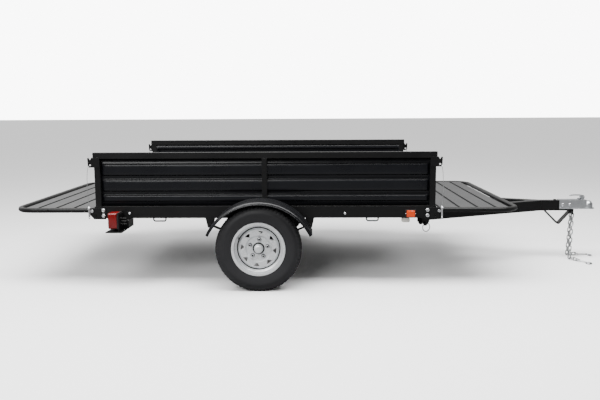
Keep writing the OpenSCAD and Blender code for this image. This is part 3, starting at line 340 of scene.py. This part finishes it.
def build_clouds():
    """Two noises of different size: Tone drifts over decimetres, Speck over millimetres."""
    tree, into, out = new_group("clouds", {"Scale": 6.0, "Fine": 700.0},
                                {"Tone": "NodeSocketFloat", "Speck": "NodeSocketFloat"})
    place = here(tree)
    wide = add(tree, "ShaderNodeTexNoise",
               {"Vector": place, "Scale": into["Scale"], "Detail": 6.0, "Roughness": 0.6})
    fine = add(tree, "ShaderNodeTexNoise",
               {"Vector": place, "Scale": into["Fine"], "Detail": 2.0, "Roughness": 0.5})
    tree.links.new(wide.outputs["Fac"], out["Tone"])
    tree.links.new(fine.outputs["Fac"], out["Speck"])
    return tree


def build_edge_wear():
    """Edge is 1 where the surface turns within Radius and 0 on flats, and Normal is the
    surface's direction with its edges rounded over that radius."""
    tree, into, out = new_group("edge_wear", {"Radius": 0.0015},
                                {"Edge": "NodeSocketFloat", "Normal": "NodeSocketVector"})
    rounded = add(tree, "ShaderNodeBevel", {"Radius": into["Radius"]}, samples=4)
    flat = add(tree, "ShaderNodeNewGeometry").outputs["Normal"]
    same = add(tree, "ShaderNodeVectorMath", {0: rounded.outputs[0], 1: flat},
               operation="DOT_PRODUCT")
    turn = math_node(tree, "SUBTRACT", 1.0, same.outputs["Value"])
    tree.links.new(math_node(tree, "MULTIPLY", turn, 5.0, True), out["Edge"])
    tree.links.new(rounded.outputs[0], out["Normal"])
    return tree


def build_dust():
    """Dust lies on what faces up, in patches."""
    tree, into, out = new_group("dust", {"Amount": 0.5}, {"Dust": "NodeSocketFloat"})
    normal = add(tree, "ShaderNodeNewGeometry").outputs["Normal"]
    up = add(tree, "ShaderNodeSeparateXYZ", {0: normal})
    patch = add(tree, "ShaderNodeTexNoise", {"Vector": here(tree), "Scale": 9.0, "Detail": 8.0})
    facing = add(tree, "ShaderNodeMapRange", {"Value": up.outputs["Z"], "From Min": 0.3}).outputs[0]
    cover = math_node(tree, "MULTIPLY", facing, patch.outputs["Fac"])
    tree.links.new(math_node(tree, "MULTIPLY", cover, into["Amount"], True), out["Dust"])
    return tree


GROUPS = {}


def use(tree, name, **inputs):
    """Places a shared group in a material and gives its outputs."""
    return add(tree, "ShaderNodeGroup", inputs, node_tree=GROUPS[name]).outputs


def new_material(name, **plain):
    """A material with plain shader values, its node tree and its shader's inputs."""
    made = bpy.data.materials.new(name)
    made.use_nodes = True
    shader = made.node_tree.nodes["Principled BSDF"]
    for key, value in plain.items():
        shader.inputs[key.replace("_", " ")].default_value = value
    return made, made.node_tree, shader.inputs


def coat(name, colour, worn, rough):
    """Powder coat: a faint orange peel, tone drifting over the sheet, paler rubbed edges
    and dust on what faces up."""
    made, tree, to = new_material(name, Specular_IOR_Level=0.2)
    clouds = use(tree, "clouds", Scale=5.0, Fine=900.0)
    edge = use(tree, "edge_wear", Radius=0.0015)
    grime = use(tree, "dust", Amount=0.1)["Dust"]
    base = mix_colour(tree, clouds["Tone"], lift(colour, 0.75), lift(colour, 1.3))
    rub = math_node(tree, "MULTIPLY", edge["Edge"], clouds["Tone"])
    base = mix_colour(tree, rub, base, (*worn, 1))
    feed(tree, to["Base Color"], mix_colour(tree, grime, base, (0.16, 0.155, 0.145, 1)))
    shine = spread(tree, clouds["Tone"], rough - 0.07, rough + 0.1)
    dulled = math_node(tree, "MULTIPLY", grime, 0.3)
    feed(tree, to["Roughness"], math_node(tree, "ADD", shine, dulled))
    feed(tree, to["Normal"], bump(tree, clouds["Speck"], 0.00006, 0.6, edge["Normal"]))
    return made


def plank_steel(name):
    """Powder-coated tread plank: fine crossed ridges a few millimetres apart on the flats."""
    made, tree, to = new_material(name, Specular_IOR_Level=0.5)
    place = here(tree)
    clouds = use(tree, "clouds", Scale=4.0, Fine=500.0)
    edge = use(tree, "edge_wear", Radius=0.002)
    grime = use(tree, "dust", Amount=0.18)["Dust"]
    waves = []
    for turn in (45, -45):
        way = add(tree, "ShaderNodeMapping",
                  {"Vector": place, "Rotation": (0, 0, math.radians(turn))}).outputs[0]
        wave = add(tree, "ShaderNodeTexWave", {"Vector": way, "Scale": 45.0, "Distortion": 0.0})
        waves.append(wave.outputs["Fac"])
    ridge = math_node(tree, "MAXIMUM", *waves)
    base = mix_colour(tree, clouds["Tone"], (0.007, 0.0073, 0.008, 1), (0.018, 0.0185, 0.0195, 1))
    scuff = math_node(tree, "MULTIPLY", math_node(tree, "POWER", ridge, 6.0), clouds["Tone"])
    base = mix_colour(tree, scuff, base, (0.05, 0.05, 0.052, 1))
    base = mix_colour(tree, edge["Edge"], base, (0.06, 0.06, 0.062, 1))
    feed(tree, to["Base Color"], mix_colour(tree, grime, base, (0.15, 0.147, 0.14, 1)))
    feed(tree, to["Roughness"], spread(tree, clouds["Tone"], 0.34, 0.52))
    relief = bump(tree, ridge, 0.0006, 0.5, edge["Normal"])
    feed(tree, to["Normal"], bump(tree, clouds["Speck"], 0.0001, 0.5, relief))
    return made


def plated(name, colour, rough, spangle=0.0, radius=0.0008, stain=0.3, metal=1.0,
           shade_and_grime_inside=0.0):
    """Zinc: bare metal with clouded tone, fine pits, stains in patches and, on hot-dip
    work, flat crystals of slightly different tone. What lies nearer the centre plane than
    the last argument turns near black, dull and less metallic: painted shade, with road grime."""
    made, tree, to = new_material(name)
    place = here(tree)
    clouds = use(tree, "clouds", Scale=30.0, Fine=1500.0)
    edge = use(tree, "edge_wear", Radius=radius)
    crystal = add(tree, "ShaderNodeTexVoronoi", {"Vector": place, "Scale": 160.0})
    flake = add(tree, "ShaderNodeSeparateColor", {0: crystal.outputs["Color"]}).outputs[0]
    tone = math_node(tree, "ADD", math_node(tree, "MULTIPLY", flake, spangle),
                     math_node(tree, "MULTIPLY", clouds["Tone"], 1 - spangle))
    base = mix_colour(tree, tone, lift(colour, 0.72), lift(colour, 1.15))
    spot = math_node(tree, "MULTIPLY", math_node(tree, "POWER", clouds["Tone"], 3.0), stain)
    base = mix_colour(tree, spot, base, (0.28, 0.27, 0.24, 1))
    base = mix_colour(tree, edge["Edge"], base, (0.85, 0.86, 0.87, 1))
    shine = spread(tree, tone, rough - 0.08, rough + 0.12)
    if shade_and_grime_inside:
        # painted shade, with road grime: nearer the centre plane the zinc turns near black, dull and less metallic
        out = add(tree, "ShaderNodeSeparateXYZ", {0: place}).outputs["Y"]
        shade_and_grime = math_node(tree, "LESS_THAN", math_node(tree, "ABSOLUTE", out), shade_and_grime_inside)
        base = mix_colour(tree, shade_and_grime, base, (0.012, 0.0115, 0.011, 1))
        shine = math_node(tree, "MAXIMUM", shine, math_node(tree, "MULTIPLY", shade_and_grime, 0.9))
        feed(tree, to["Metallic"], math_node(tree, "SUBTRACT", metal, shade_and_grime, True))
    else:
        to["Metallic"].default_value = metal
    feed(tree, to["Base Color"], base)
    feed(tree, to["Roughness"], shine)
    feed(tree, to["Normal"], bump(tree, clouds["Speck"], 0.00008, 0.5, edge["Normal"]))
    return made


def moulded(name, colour, rough, grain=0.00012, fine=650.0, edge_tone=1.5, dust=0.3):
    """Moulded plastic or rubber: a fine pebbled grain, dull patches and dust."""
    made, tree, to = new_material(name, Specular_IOR_Level=0.3)
    clouds = use(tree, "clouds", Scale=12.0, Fine=fine)
    edge = use(tree, "edge_wear", Radius=0.001)
    grime = use(tree, "dust", Amount=dust)["Dust"]
    base = mix_colour(tree, clouds["Tone"], lift(colour, 0.8), lift(colour, 1.25))
    base = mix_colour(tree, edge["Edge"], base, lift(colour, edge_tone))
    feed(tree, to["Base Color"], mix_colour(tree, grime, base, (0.17, 0.165, 0.155, 1)))
    feed(tree, to["Roughness"], spread(tree, clouds["Tone"], rough - 0.08, rough + 0.1))
    feed(tree, to["Normal"], bump(tree, clouds["Speck"], grain, 0.7, edge["Normal"]))
    return made


def lens(name, deep, bright, pitch):
    """Coloured acrylic over prisms under gloss: a fine grid of cells, each painted lighter in
    its middle as a glint of light off its prism and deep towards its edges.
    """
    made, tree, to = new_material(name, Coat_Weight=0.3, Coat_Roughness=0.04,
                                  Specular_IOR_Level=0.35)
    clouds = use(tree, "clouds", Scale=40.0, Fine=900.0)
    cells = add(tree, "ShaderNodeTexVoronoi",
                {"Vector": here(tree), "Scale": 1 / pitch, "Randomness": 0.0}).outputs["Distance"]
    # painted glints: each prism cell's colour is lighter towards its middle
    painted_glint = math_node(tree, "SUBTRACT", 1.0, math_node(tree, "MULTIPLY", cells, 1.4), True)
    painted_glint = math_node(tree, "MULTIPLY", painted_glint, spread(tree, clouds["Tone"], 0.6, 1.2), True)
    feed(tree, to["Base Color"], mix_colour(tree, painted_glint, (*deep, 1), (*bright, 1)))
    feed(tree, to["Roughness"], spread(tree, clouds["Tone"], 0.1, 0.24))
    feed(tree, to["Normal"], bump(tree, cells, 0.0006, 0.5))
    return made


GROUPS["clouds"] = build_clouds()
GROUPS["edge_wear"] = build_edge_wear()
GROUPS["dust"] = build_dust()
FINISHES = {
    "black_steel": coat("black_steel", (0.0042, 0.0042, 0.0044), (0.03, 0.03, 0.032), 0.33),
    "wall_steel": coat("wall_steel", (0.0044, 0.0047, 0.0060), (0.02, 0.021, 0.026), 0.27),
    "spring_steel": coat("spring_steel", (0.006, 0.006, 0.006), (0.04, 0.038, 0.035), 0.5),
    "plank_steel": plank_steel("plank_steel"),
    "zinc": plated("zinc", (0.70, 0.71, 0.73), 0.26),
    "zinc_dull": plated("zinc_dull", (0.45, 0.46, 0.48), 0.42, stain=0.5),
    "galvanised": plated("galvanised", (0.78, 0.795, 0.81), 0.38, 0.45, 0.0012, metal=0.65,
                         shade_and_grime_inside=WHEEL_Y + 0.0155),
    "coupler_zinc": plated("coupler_zinc", (0.60, 0.62, 0.64), 0.3, spangle=0.2, stain=0.4),
    "chain_zinc": plated("chain_zinc", (0.50, 0.51, 0.52), 0.26, stain=0.45),
    "wire_rope": plated("wire_rope", (0.55, 0.56, 0.57), 0.35, stain=0.5),
    "tyre": moulded("tyre", (0.013, 0.013, 0.0145), 0.5, grain=0.0002, fine=500.0, dust=0.2),
    "fender_plastic": moulded("fender_plastic", (0.004, 0.0042, 0.0052), 0.26, dust=0.05),
    "black_plastic": moulded("black_plastic", (0.006, 0.006, 0.0065), 0.42),
    "loom": moulded("loom", (0.006, 0.006, 0.006), 0.5, grain=0.00005),
    "grey_plastic": moulded("grey_plastic", (0.42, 0.41, 0.38), 0.5, edge_tone=1.1),
    "red_lens": lens("red_lens", (0.07, 0.0006, 0.001), (0.30, 0.001, 0.0016), 0.007),
    "amber_lens": lens("amber_lens", (0.45, 0.03, 0.003), (0.85, 0.10, 0.008), 0.006),
}

make_camera()

# ---- Cords of the gate pins ----
# Points listed from the bracket down to the pin, in millimetres: distance beyond the
# bed's end, distance outside the wall, height
LANYARD_POINTS = [
    [25, 1, 779], [25, 6, 779], [26, 11, 777], [27, 14, 772], [29, 15, 764], [31, 15, 750],
    [34, 15, 725], [36, 15, 695], [37, 15, 660], [37, 15, 625], [36, 15, 595], [35, 15, 570],
    [34, 15, 550], [33, 15, 535], [33, 15, 522],
]
LANYARD_D = 0.003
PATH_STEP = 0.0015
MM = 0.001


def smooth_path(points, step):
    """A Catmull-Rom curve through the points, sampled about every step."""
    p = np.vstack([2 * points[0] - points[1], points, 2 * points[-1] - points[-2]])
    out = []
    for i in range(1, len(p) - 2):
        count = max(2, int(np.linalg.norm(p[i + 1] - p[i]) / step))
        t = np.linspace(0, 1, count, endpoint=False)[:, None]
        out.append(0.5 * (2 * p[i] + (p[i + 1] - p[i - 1]) * t
                          + (2 * p[i - 1] - 5 * p[i] + 4 * p[i + 1] - p[i + 2]) * t ** 2
                          + (3 * p[i] - p[i - 1] - 3 * p[i + 1] + p[i + 2]) * t ** 3))
    return np.vstack([*out, p[-2:-1]])


def lanyard(end, side):
    """Stranded wire: a tube whose radius rises and falls round it as six strands do, and
    whose strands turn once in six diameters."""
    path = np.array(LANYARD_POINTS, float) * MM
    bed_end = BED_REAR if end == "rear" else BED_FRONT
    path[:, 0] = bed_end + ENDS[end] * path[:, 0]
    path[:, 1] = SIDES[side] * (BED_HALF + path[:, 1])
    path = smooth_path(path, PATH_STEP)
    along = np.gradient(path, axis=0)
    along /= np.linalg.norm(along, axis=1, keepdims=True)
    across = np.cross(along, [1.0, 0, 0])
    across /= np.linalg.norm(across, axis=1, keepdims=True)
    other = np.cross(along, across)
    run = np.concatenate([[0], np.cumsum(np.linalg.norm(np.diff(path, axis=0), axis=1))])
    sides, strands, groove = 24, 6, 0.14
    phi = np.linspace(0, 2 * np.pi, sides, endpoint=False)
    twist = 2 * np.pi * run[:, None] / (6 * LANYARD_D)
    strand = np.abs(np.cos(strands / 2 * (phi + twist)))
    radius = LANYARD_D / 2 * (1 - groove + groove * strand)
    points = path[:, None] + radius[..., None] * (
        np.cos(phi)[None, :, None] * across[:, None]
        + np.sin(phi)[None, :, None] * other[:, None])
    piece = outward(add_object(f"wire_lanyard_{end}_{side}", points, tube_faces(len(path), sides)))
    finish_piece(piece, "frame", "wire_rope", f"lanyard_{end}_{side}")


for END in ENDS:
    for SIDE in SIDES:
        lanyard(END, SIDE)


# ---- Finishes of the nodes that keep their own shape ----
SLOT_OF = {part["node"]: part["material_slot"] for part in frame["record"]["subparts"]}
for NODE, OBJECT in nodes.items():
    OBJECT.data.materials.clear()
    OBJECT.data.materials.append(FINISHES[SLOT_OF[NODE]])


# ---- Walls ----
BAND_PITCH = 0.101
BAND_FLAT = 0.061
TOP_TO_BAND = 0.042
LOW_BAND = (0.037, 0.063)   # start and end of the narrow band above the sheet's lower edge
BAND_SLOPE = 0.010
BAND_DEPTH = 0.016
BAND_END = 0.016            # length over which a band runs out at the sheet's ends
SHEET_SET_IN = 0.012        # the bands' faces inside the bed's side
SHEET = 0.0025
SKIN = 0.0005               # kept clear of the node's own box


def wall_panel(side):
    """A sheet pressed into three long bands: y = base - depth * rise(z) * reach(x), where
    rise climbs over a slope at each band's edges and reach falls to 0 at the sheet's ends.
    The sheet also waves by a fraction of a millimetre."""
    low, high = (np.array(corner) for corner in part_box(f"wall_panel_{side}"))
    bands = [(low[2] + LOW_BAND[0], low[2] + LOW_BAND[1])]
    bands += [(high[2] - TOP_TO_BAND - BAND_FLAT - i * BAND_PITCH,
               high[2] - TOP_TO_BAND - i * BAND_PITCH) for i in (1, 0)]
    rises = [np.linspace(a - BAND_SLOPE, a, 9) for a, b in bands]
    rises += [np.linspace(b, b + BAND_SLOPE, 9) for a, b in bands]
    flats = [np.linspace(a, b, 5)[1:-1] for a, b in bands]
    z = np.unique(np.concatenate([*rises, *flats, [low[2], high[2]]]))
    near = np.linspace(0, BAND_END, 11)
    x = np.unique(np.concatenate([low[0] + near, high[0] - near,
                                  np.linspace(low[0] + BAND_END, high[0] - BAND_END, 90)]))
    press = sum(smoothstep((z - (a - BAND_SLOPE)) / BAND_SLOPE)
                * smoothstep((b + BAND_SLOPE - z) / BAND_SLOPE) for a, b in bands)
    plain = 0.002
    reach = (smoothstep((x - low[0] - plain) / BAND_END)
             * smoothstep((high[0] - plain - x) / BAND_END))
    wave = SKIN * np.sin(x * 9.3)[None, :] * np.cos(z * 31)[:, None]
    rise = press[:, None] * reach[None, :]
    y = BED_HALF - SHEET_SET_IN - BAND_DEPTH * (1 - rise) - SKIN + wave
    grid = np.stack([np.broadcast_to(x, y.shape), SIDES[side] * y,
                     np.broadcast_to(z[:, None], y.shape)], -1)
    back = grid - np.array([0, SIDES[side] * (SHEET - 0.0006), 0])
    rows, columns = y.shape
    shift = rows * columns
    faces = grid_faces(rows, columns) + grid_faces(rows, columns, start=shift)
    rim = [(0, c) for c in range(columns)]
    rim += [(r, columns - 1) for r in range(1, rows)]
    rim += [(rows - 1, c) for c in range(columns - 2, -1, -1)]
    rim += [(r, 0) for r in range(rows - 2, 0, -1)]
    edge = [r * columns + c for r, c in rim]
    faces += [(a, b, b + shift, a + shift) for a, b in zip(edge, edge[1:] + edge[:1])]
    piece = outward(add_object(f"pressed_wall_{side}", np.concatenate([grid, back]), faces))
    finish_piece(piece, "frame", "wall_steel", f"wall_panel_{side}")


# ---- Fenders ----
FENDER_START = 26     # degrees above level at which the arch begins and ends
FENDER_EDGE = 0.016   # radius of the bend from the top to the outer side
LIP_R = 0.0026
FENDER_RIBS = 6


def fender(side):
    """A curved shell: a section of [radius, distance outwards] with five shallow ribs and
    a rolled outer lip, swept about a line along Y through the arch's centre."""
    low, high = (np.array(corner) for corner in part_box(f"fender_{side}"))
    width = high[1] - low[1]
    radius = (high[0] - low[0]) / 2 / math.cos(math.radians(FENDER_START))
    centre = ((low[0] + high[0]) / 2, high[2] - radius)
    across = np.linspace(0, width - FENDER_EDGE - 0.004, 90)
    place = (across / (width - FENDER_EDGE)) * FENDER_RIBS % 1
    ribs = smoothstep(np.abs(place - 0.5) * 5 - 1.1)
    top = np.stack([radius - 0.0018 + 0.0015 * ribs, across], -1)
    turn = np.radians(np.linspace(90, 0, 14))
    bend = np.stack([radius - 0.0003 - FENDER_EDGE * (1 - np.sin(turn)),
                     width - 0.0042 - FENDER_EDGE * (1 - np.cos(turn))], -1)
    turn = np.radians(np.linspace(100, -170, 18))
    roll = np.stack([radius - 0.0168 + LIP_R * np.sin(turn),
                     width - 0.0028 + LIP_R * np.cos(turn)], -1)
    under = np.stack([radius - 0.0042 - 0.010 * smoothstep(np.linspace(1, -3, 12)),
                      np.linspace(width - 0.0075, 0, 12)], -1)
    section = np.vstack([top, bend, roll, under])
    sweep = np.radians(np.linspace(FENDER_START, 180 - FENDER_START, 150))
    inner_side = abs(low[1] if side == "left" else high[1])
    points = np.stack([
        centre[0] + np.outer(np.cos(sweep), section[:, 0]),
        np.broadcast_to(SIDES[side] * (inner_side + section[:, 1]), (len(sweep), len(section))),
        centre[1] + np.outer(np.sin(sweep), section[:, 0])], -1)
    faces = tube_faces(len(sweep), len(section))
    piece = outward(add_object(f"arched_fender_{side}", points, faces))
    finish_piece(piece, "frame", "fender_plastic", f"fender_{side}")


# ---- Wheels ----
TREAD_BLOCKS = 66
GROOVE_DEPTH = 0.0065
TYRE_SHOULDER = 0.020
SIDEWALL_RINGS = ((0.2, 0.0012), (0.62, 0.0009), (0.70, 0.0009), (0.86, 0.0012))


def tyre(side):
    """A tyre's skin: a closed section of [radius, distance from its middle] turned round
    the axle, with grooves sunk by depth * mask(angle, distance)."""
    low, high = (np.array(corner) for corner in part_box(f"tyre_{side}"))
    crown = (high[0] - low[0]) / 2 - 0.0004
    half = (high[1] - low[1]) / 2 - 0.0006
    bead, base = 0.0488, 0.1562
    t = np.linspace(0, 1, 34)
    wall_r = base + (crown - TYRE_SHOULDER - base) * t
    wall_y = bead + (half - bead) * np.sin(np.clip(t * 1.25, 0, 1) * np.pi / 2) ** 0.8
    wall_y -= 0.007 * smoothstep((t - 0.72) / 0.28)
    ring = np.zeros_like(t)
    for at, size in SIDEWALL_RINGS:
        ring += size * np.exp(-((t - at) / 0.018) ** 2)
    shoulder = np.radians(np.linspace(10, 90, 12))
    top_half = wall_y[-1] - 0.017
    turn_r = crown - TYRE_SHOULDER + TYRE_SHOULDER * np.sin(shoulder)
    turn_y = top_half + 0.017 * np.cos(shoulder)
    flat = np.linspace(top_half, 0, 22)[1:]
    r = np.concatenate([wall_r, turn_r, np.full(len(flat), crown)])
    y = np.concatenate([np.minimum(wall_y + ring, half), turn_y, flat])
    outer = np.concatenate([np.stack([r, -y], -1), np.stack([r, y], -1)[-2::-1]])
    inner = np.array([[base, 0.040], [base + 0.04, 0.050], [crown - 0.03, 0.046],
                      [crown - 0.014, 0.030], [crown - 0.014, -0.030], [crown - 0.03, -0.046],
                      [base + 0.04, -0.050], [base, -0.040]])
    angle = np.linspace(0, 2 * np.pi, TREAD_BLOCKS * 8, endpoint=False)
    across = np.abs(outer[:, 1])
    tread = smoothstep((outer[:, 0] - (crown - 0.016)) / 0.003)
    groove = sum(smoothstep(1.6 - np.abs(across - at) / 0.0026) for at in (0.010, 0.030))
    phase = (angle[:, None] * TREAD_BLOCKS / (2 * np.pi) + outer[None, :, 1] * 18
             + 0.5 * (outer[None, :, 1] > 0)) % 1.0
    slot = smoothstep(1.5 - np.abs(phase - 0.5) / 0.09) * smoothstep((across - 0.032) / 0.003)
    sipe = smoothstep(1.5 - np.abs((phase * 2) % 1.0 - 0.5) / 0.12) * 0.5
    sipe = sipe * (across < 0.028) * (across > 0.0)
    mask = np.clip(np.maximum(np.maximum(groove[None, :], slot), sipe), 0, 1) * tread[None, :]
    radius = outer[None, :, 0] - GROOVE_DEPTH * mask
    lean = outer[None, :, 1] * (1 - 0.03 * mask * (across > 0.04))
    radius = np.concatenate([radius, np.broadcast_to(inner[:, 0], (len(angle), len(inner)))], 1)
    lean = np.concatenate([lean, np.broadcast_to(inner[:, 1], (len(angle), len(inner)))], 1)
    points = np.stack([AXLE_X + radius * np.cos(angle)[:, None], SIDES[side] * WHEEL_Y + lean,
                       AXLE_Z + radius * np.sin(angle)[:, None]], -1)
    faces = grid_faces(len(angle), radius.shape[1], True, True)
    piece = outward(add_object(f"treaded_tyre_{side}", points, faces))
    finish_piece(piece, f"{side}_wheel", "tyre", f"tyre_{side}")


def valve(side):
    """A rubber valve stem with a cap, standing out of the rim's disc."""
    reach, turn = 0.136, math.radians(152)
    profile = [[0, -0.012], [0.0045, -0.012], [0.0062, -0.002], [0.0052, 0.002], [0.0042, 0.012],
               [0.0042, 0.020], [0.0048, 0.0205], [0.0048, 0.030], [0.0036, 0.032], [0, 0.032]]
    centre = (AXLE_X + reach * math.cos(turn), SIDES[side] * (WHEEL_Y + 0.014),
              AXLE_Z + reach * math.sin(turn))
    piece = revolve(f"valve_stem_{side}", profile, centre, (0, SIDES[side], 0), 24)
    finish_piece(piece, f"{side}_wheel", "loom")


def hex_head(centre, axis, across, height, turn=0.0, bore=0.0, count=72):
    """A hexagonal head or nut: at each height its outline is the hexagon, cut off by a
    circle that shrinks towards both faces as a chamfer does. A nut has a bore."""
    axis = np.array(axis, float)
    side = np.cross(axis, [0.0, 0.0, 1.0])
    side /= np.linalg.norm(side)
    other = np.cross(side, axis)
    angle = np.linspace(0, 2 * np.pi, count, endpoint=False)
    flat = across / 2
    hexagon = flat / np.cos((angle + turn) % (np.pi / 3) - np.pi / 6)
    corner = flat / math.cos(math.pi / 6)
    rows = []
    inner = (bore or flat * 0.45) / corner
    for level, limit in ((0, inner), (0, 0.97), (0.06, 1.0), (0.82, 1.0), (0.93, 0.95),
                         (1.0, 0.87), (1.0, inner * 1.08), (0.96, inner)):
        r = np.minimum(hexagon, corner * limit)
        ring = (r * np.cos(angle))[:, None] * side + (r * np.sin(angle))[:, None] * other
        rows.append(ring + axis * level * height + np.array(centre))
    faces = grid_faces(len(rows), count, True, True) if bore else tube_faces(len(rows), count)
    return outward(add_object("hex", np.vstack(rows), faces))


STUD_CIRCLE = 0.1143 / 2
STUD_TURN = math.radians(85)
STUDS = 5
NUT_ACROSS = 0.019


def hub(side):
    """Hub casting, five threaded studs with their nuts, and a pressed dust cap in a dark well:
    the casting is black as painted shade there, and a thin black ring round each nut's seat
    is painted shade too.
    Each is a profile turned about its own axis; a thread is a zigzag of radii."""
    out = SIDES[side]
    low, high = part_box(f"hub_{side}")
    cap_end = abs(low.y if out < 0 else high.y)
    nut_low, nut_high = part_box(f"lug_nuts_{side}")
    seat = min(abs(nut_low.y), abs(nut_high.y))
    nut_h = abs(nut_high.y - nut_low.y)
    disc = seat - 0.004
    back = min(abs(low.y), abs(high.y))
    centre = (AXLE_X, 0, AXLE_Z)
    casting = revolve(f"hub_casting_{side}", [
        [0.0150, disc + 0.002], [0.0276, disc + 0.002], [0.0286, disc], [0.0716, disc],
        [0.0720, disc - 0.001], [0.0720, disc - 0.008], [0.0710, disc - 0.009],
        [0.040, disc - 0.009], [0.034, disc - 0.014], [0.033, back + 0.002], [0.031, back],
        [0.0150, back],
    ], centre, (0, out, 0), 72, True)
    # painted shade: the casting takes a black finish so the well round the dust cap stays dark
    finish_piece(casting, f"{side}_wheel", "black_plastic")
    cap = revolve(f"dust_cap_{side}", [
        [0, cap_end - 0.0005], [0.010, cap_end - 0.0006], [0.0185, cap_end - 0.0012],
        [0.0225, cap_end - 0.003], [0.0250, cap_end - 0.006], [0.0258, cap_end - 0.010],
        [0.0262, disc + 0.012], [0.0288, disc + 0.011], [0.0290, disc + 0.009],
        [0.0272, disc + 0.008], [0.0262, disc + 0.0022], [0, disc + 0.0022],
    ], centre, (0, out, 0), 72)
    finish_piece(cap, f"{side}_wheel", "galvanised", f"hub_{side}")
    studs, nuts, seat_shade_rings = [], [], []
    stud_end = seat + nut_h - 0.0045
    thread = [[0.0060 - 0.0006 * (i % 2), stud_end - 0.0015 - 0.0008 * i] for i in range(24)]
    for i in range(STUDS):
        angle = STUD_TURN - i * 2 * math.pi / STUDS
        place = (AXLE_X + STUD_CIRCLE * math.cos(angle), 0,
                 AXLE_Z + STUD_CIRCLE * math.sin(angle))
        studs.append(revolve("stud", [[0, stud_end], [0.0050, stud_end], *thread,
                                      [0.0058, disc - 0.008], [0, disc - 0.008]],
                             place, (0, out, 0), 20))
        nuts.append(hex_head((place[0], out * (seat + 0.0002), place[2]), (0, out, 0),
                             NUT_ACROSS, nut_h - 0.0004, angle, 0.0064))
        # painted shade: a thin black ring round each nut stands for the shade in its conical seat
        seat_shade_rings.append(revolve("seat", [[0.0092, seat + 0.0002], [0.0092, seat + 0.0011],
                                      [0.0118, seat + 0.0009], [0.0136, seat + 0.0002]],
                             place, (0, out, 0), 40, True))
    finish_piece(join(f"wheel_studs_{side}", studs), f"{side}_wheel", "spring_steel")
    finish_piece(join(f"lug_seat_shade_rings_{side}", seat_shade_rings), f"{side}_wheel", "black_plastic")
    finish_piece(join(f"wheel_nuts_{side}", nuts), f"{side}_wheel", "zinc", f"lug_nuts_{side}")


# ---- Lamps and markers ----
def split_box(node):
    """A node's right and left halves as (low, high) corner pairs, by the sign of Y."""
    co = np.array([v.co for v in nodes[node].data.vertices])
    return {side: (co[co[:, 1] * out > 0].min(0), co[co[:, 1] * out > 0].max(0))
            for side, out in SIDES.items()}


def pan_screw(centre, axis, radius):
    """A domed screw head with a sunk recess: a profile turned about its axis."""
    return revolve("screw", [
        [0, 0.45 * radius], [0.30 * radius, 0.45 * radius], [0.34 * radius, 0.80 * radius],
        [0.60 * radius, 0.74 * radius], [0.90 * radius, 0.45 * radius], [radius, 0.1 * radius],
        [radius, 0], [0, 0]], centre, axis, 24)


def lamps():
    """Tail lamps and side markers: blocks with rounded corners and softened faces. The
    right one of each pair stands for the node that holds both."""
    for node, label, slot, axis, gap, corner, edge in (
            ("tail_lamp_lenses", "tail_lens", "red_lens", 0, 0.0003, 0.010, 0.006),
            ("marker_lenses", "marker_lens", "amber_lens", 1, 0.0002, 0.006, 0.005),
            ("marker_bases", "marker_base", "black_plastic", 1, 0.0002, 0.005, 0.0025)):
        for side, (low, high) in split_box(node).items():
            block = soft_block(f"{label}_{side}", low + gap, high - gap, axis, corner, edge)
            finish_piece(block, "frame", slot, *([node] if side == "right" else []))
    for side, (low, high) in split_box("marker_bases").items():
        out = SIDES[side]
        face = out * max(abs(low[1]), abs(high[1]))
        screws = [pan_screw((x, face - out * 0.0004, (low[2] + high[2]) / 2), (0, out, 0), 0.0034)
                  for x in (low[0] + 0.0046, high[0] - 0.0046)]
        finish_piece(join(f"marker_screws_{side}", screws), "frame", "zinc")


def islands(node):
    """The points of each separate solid of a node, as arrays, in the same order each run."""
    work = bmesh.new()
    work.from_mesh(nodes[node].data)
    bmesh.ops.remove_doubles(work, verts=work.verts, dist=1e-6)
    left = dict.fromkeys(work.verts)
    found = []
    while left:
        stack, island = [left.popitem()[0]], []
        while stack:
            v = stack.pop()
            island.append(v.co[:])
            for e in v.link_edges:
                w = e.other_vert(v)
                if w in left:
                    del left[w]
                    stack.append(w)
        found.append(np.array(island))
    work.free()
    return found


BOLT_HEAD = 0.4       # a head's height as a share of its width across flats
NOSE_NUT = 0.010
NOSE_THREAD = 0.003   # thread left standing beyond the nut


def bolts():
    """Heads of the bolts through the rails and nose, each with a washer. Places and sizes
    come from the node's own separate solids. The bolts through the nose lie on the centre
    plane and have a head at one end and a nut at the other."""
    heads = []
    for solid in islands("frame_bolts"):
        low, high = solid.min(0), solid.max(0)
        across = high[0] - low[0]
        middle = (low + high) / 2
        through = abs(middle[1]) < 0.01
        for way in (1, -1) if through else (np.sign(middle[1]),):
            outer = high[1] if way > 0 else -low[1]
            thick = across * BOLT_HEAD
            if through and way > 0:
                outer, thick = outer - NOSE_THREAD, NOSE_NUT
            seat = (middle[0], way * (outer - thick), middle[2])
            heads.append(hex_head(seat, (0, way, 0), across * 0.985, thick, 0.4))
            heads.append(revolve("washer", [
                [0, 0.0012], [across * 0.62, 0.0012], [across * 0.66, 0.0004],
                [across * 0.66, -0.0003], [0, -0.0003]], seat, (0, way, 0), 32))
        heads.append(revolve("shank", [
            [0, high[1] - 0.001], [across / 3.05, high[1] - 0.0016],
            [across / 3.05, low[1] + 0.002], [0, low[1] + 0.002]],
            (middle[0], 0, middle[2]), (0, 1, 0), 24))
    finish_piece(join("bolts_and_washers", heads), "frame", "zinc", "frame_bolts")


for SIDE in SIDES:
    wall_panel(SIDE)
    fender(SIDE)
    tyre(SIDE)
    valve(SIDE)
    hub(SIDE)
lamps()
bolts()

make_studio()
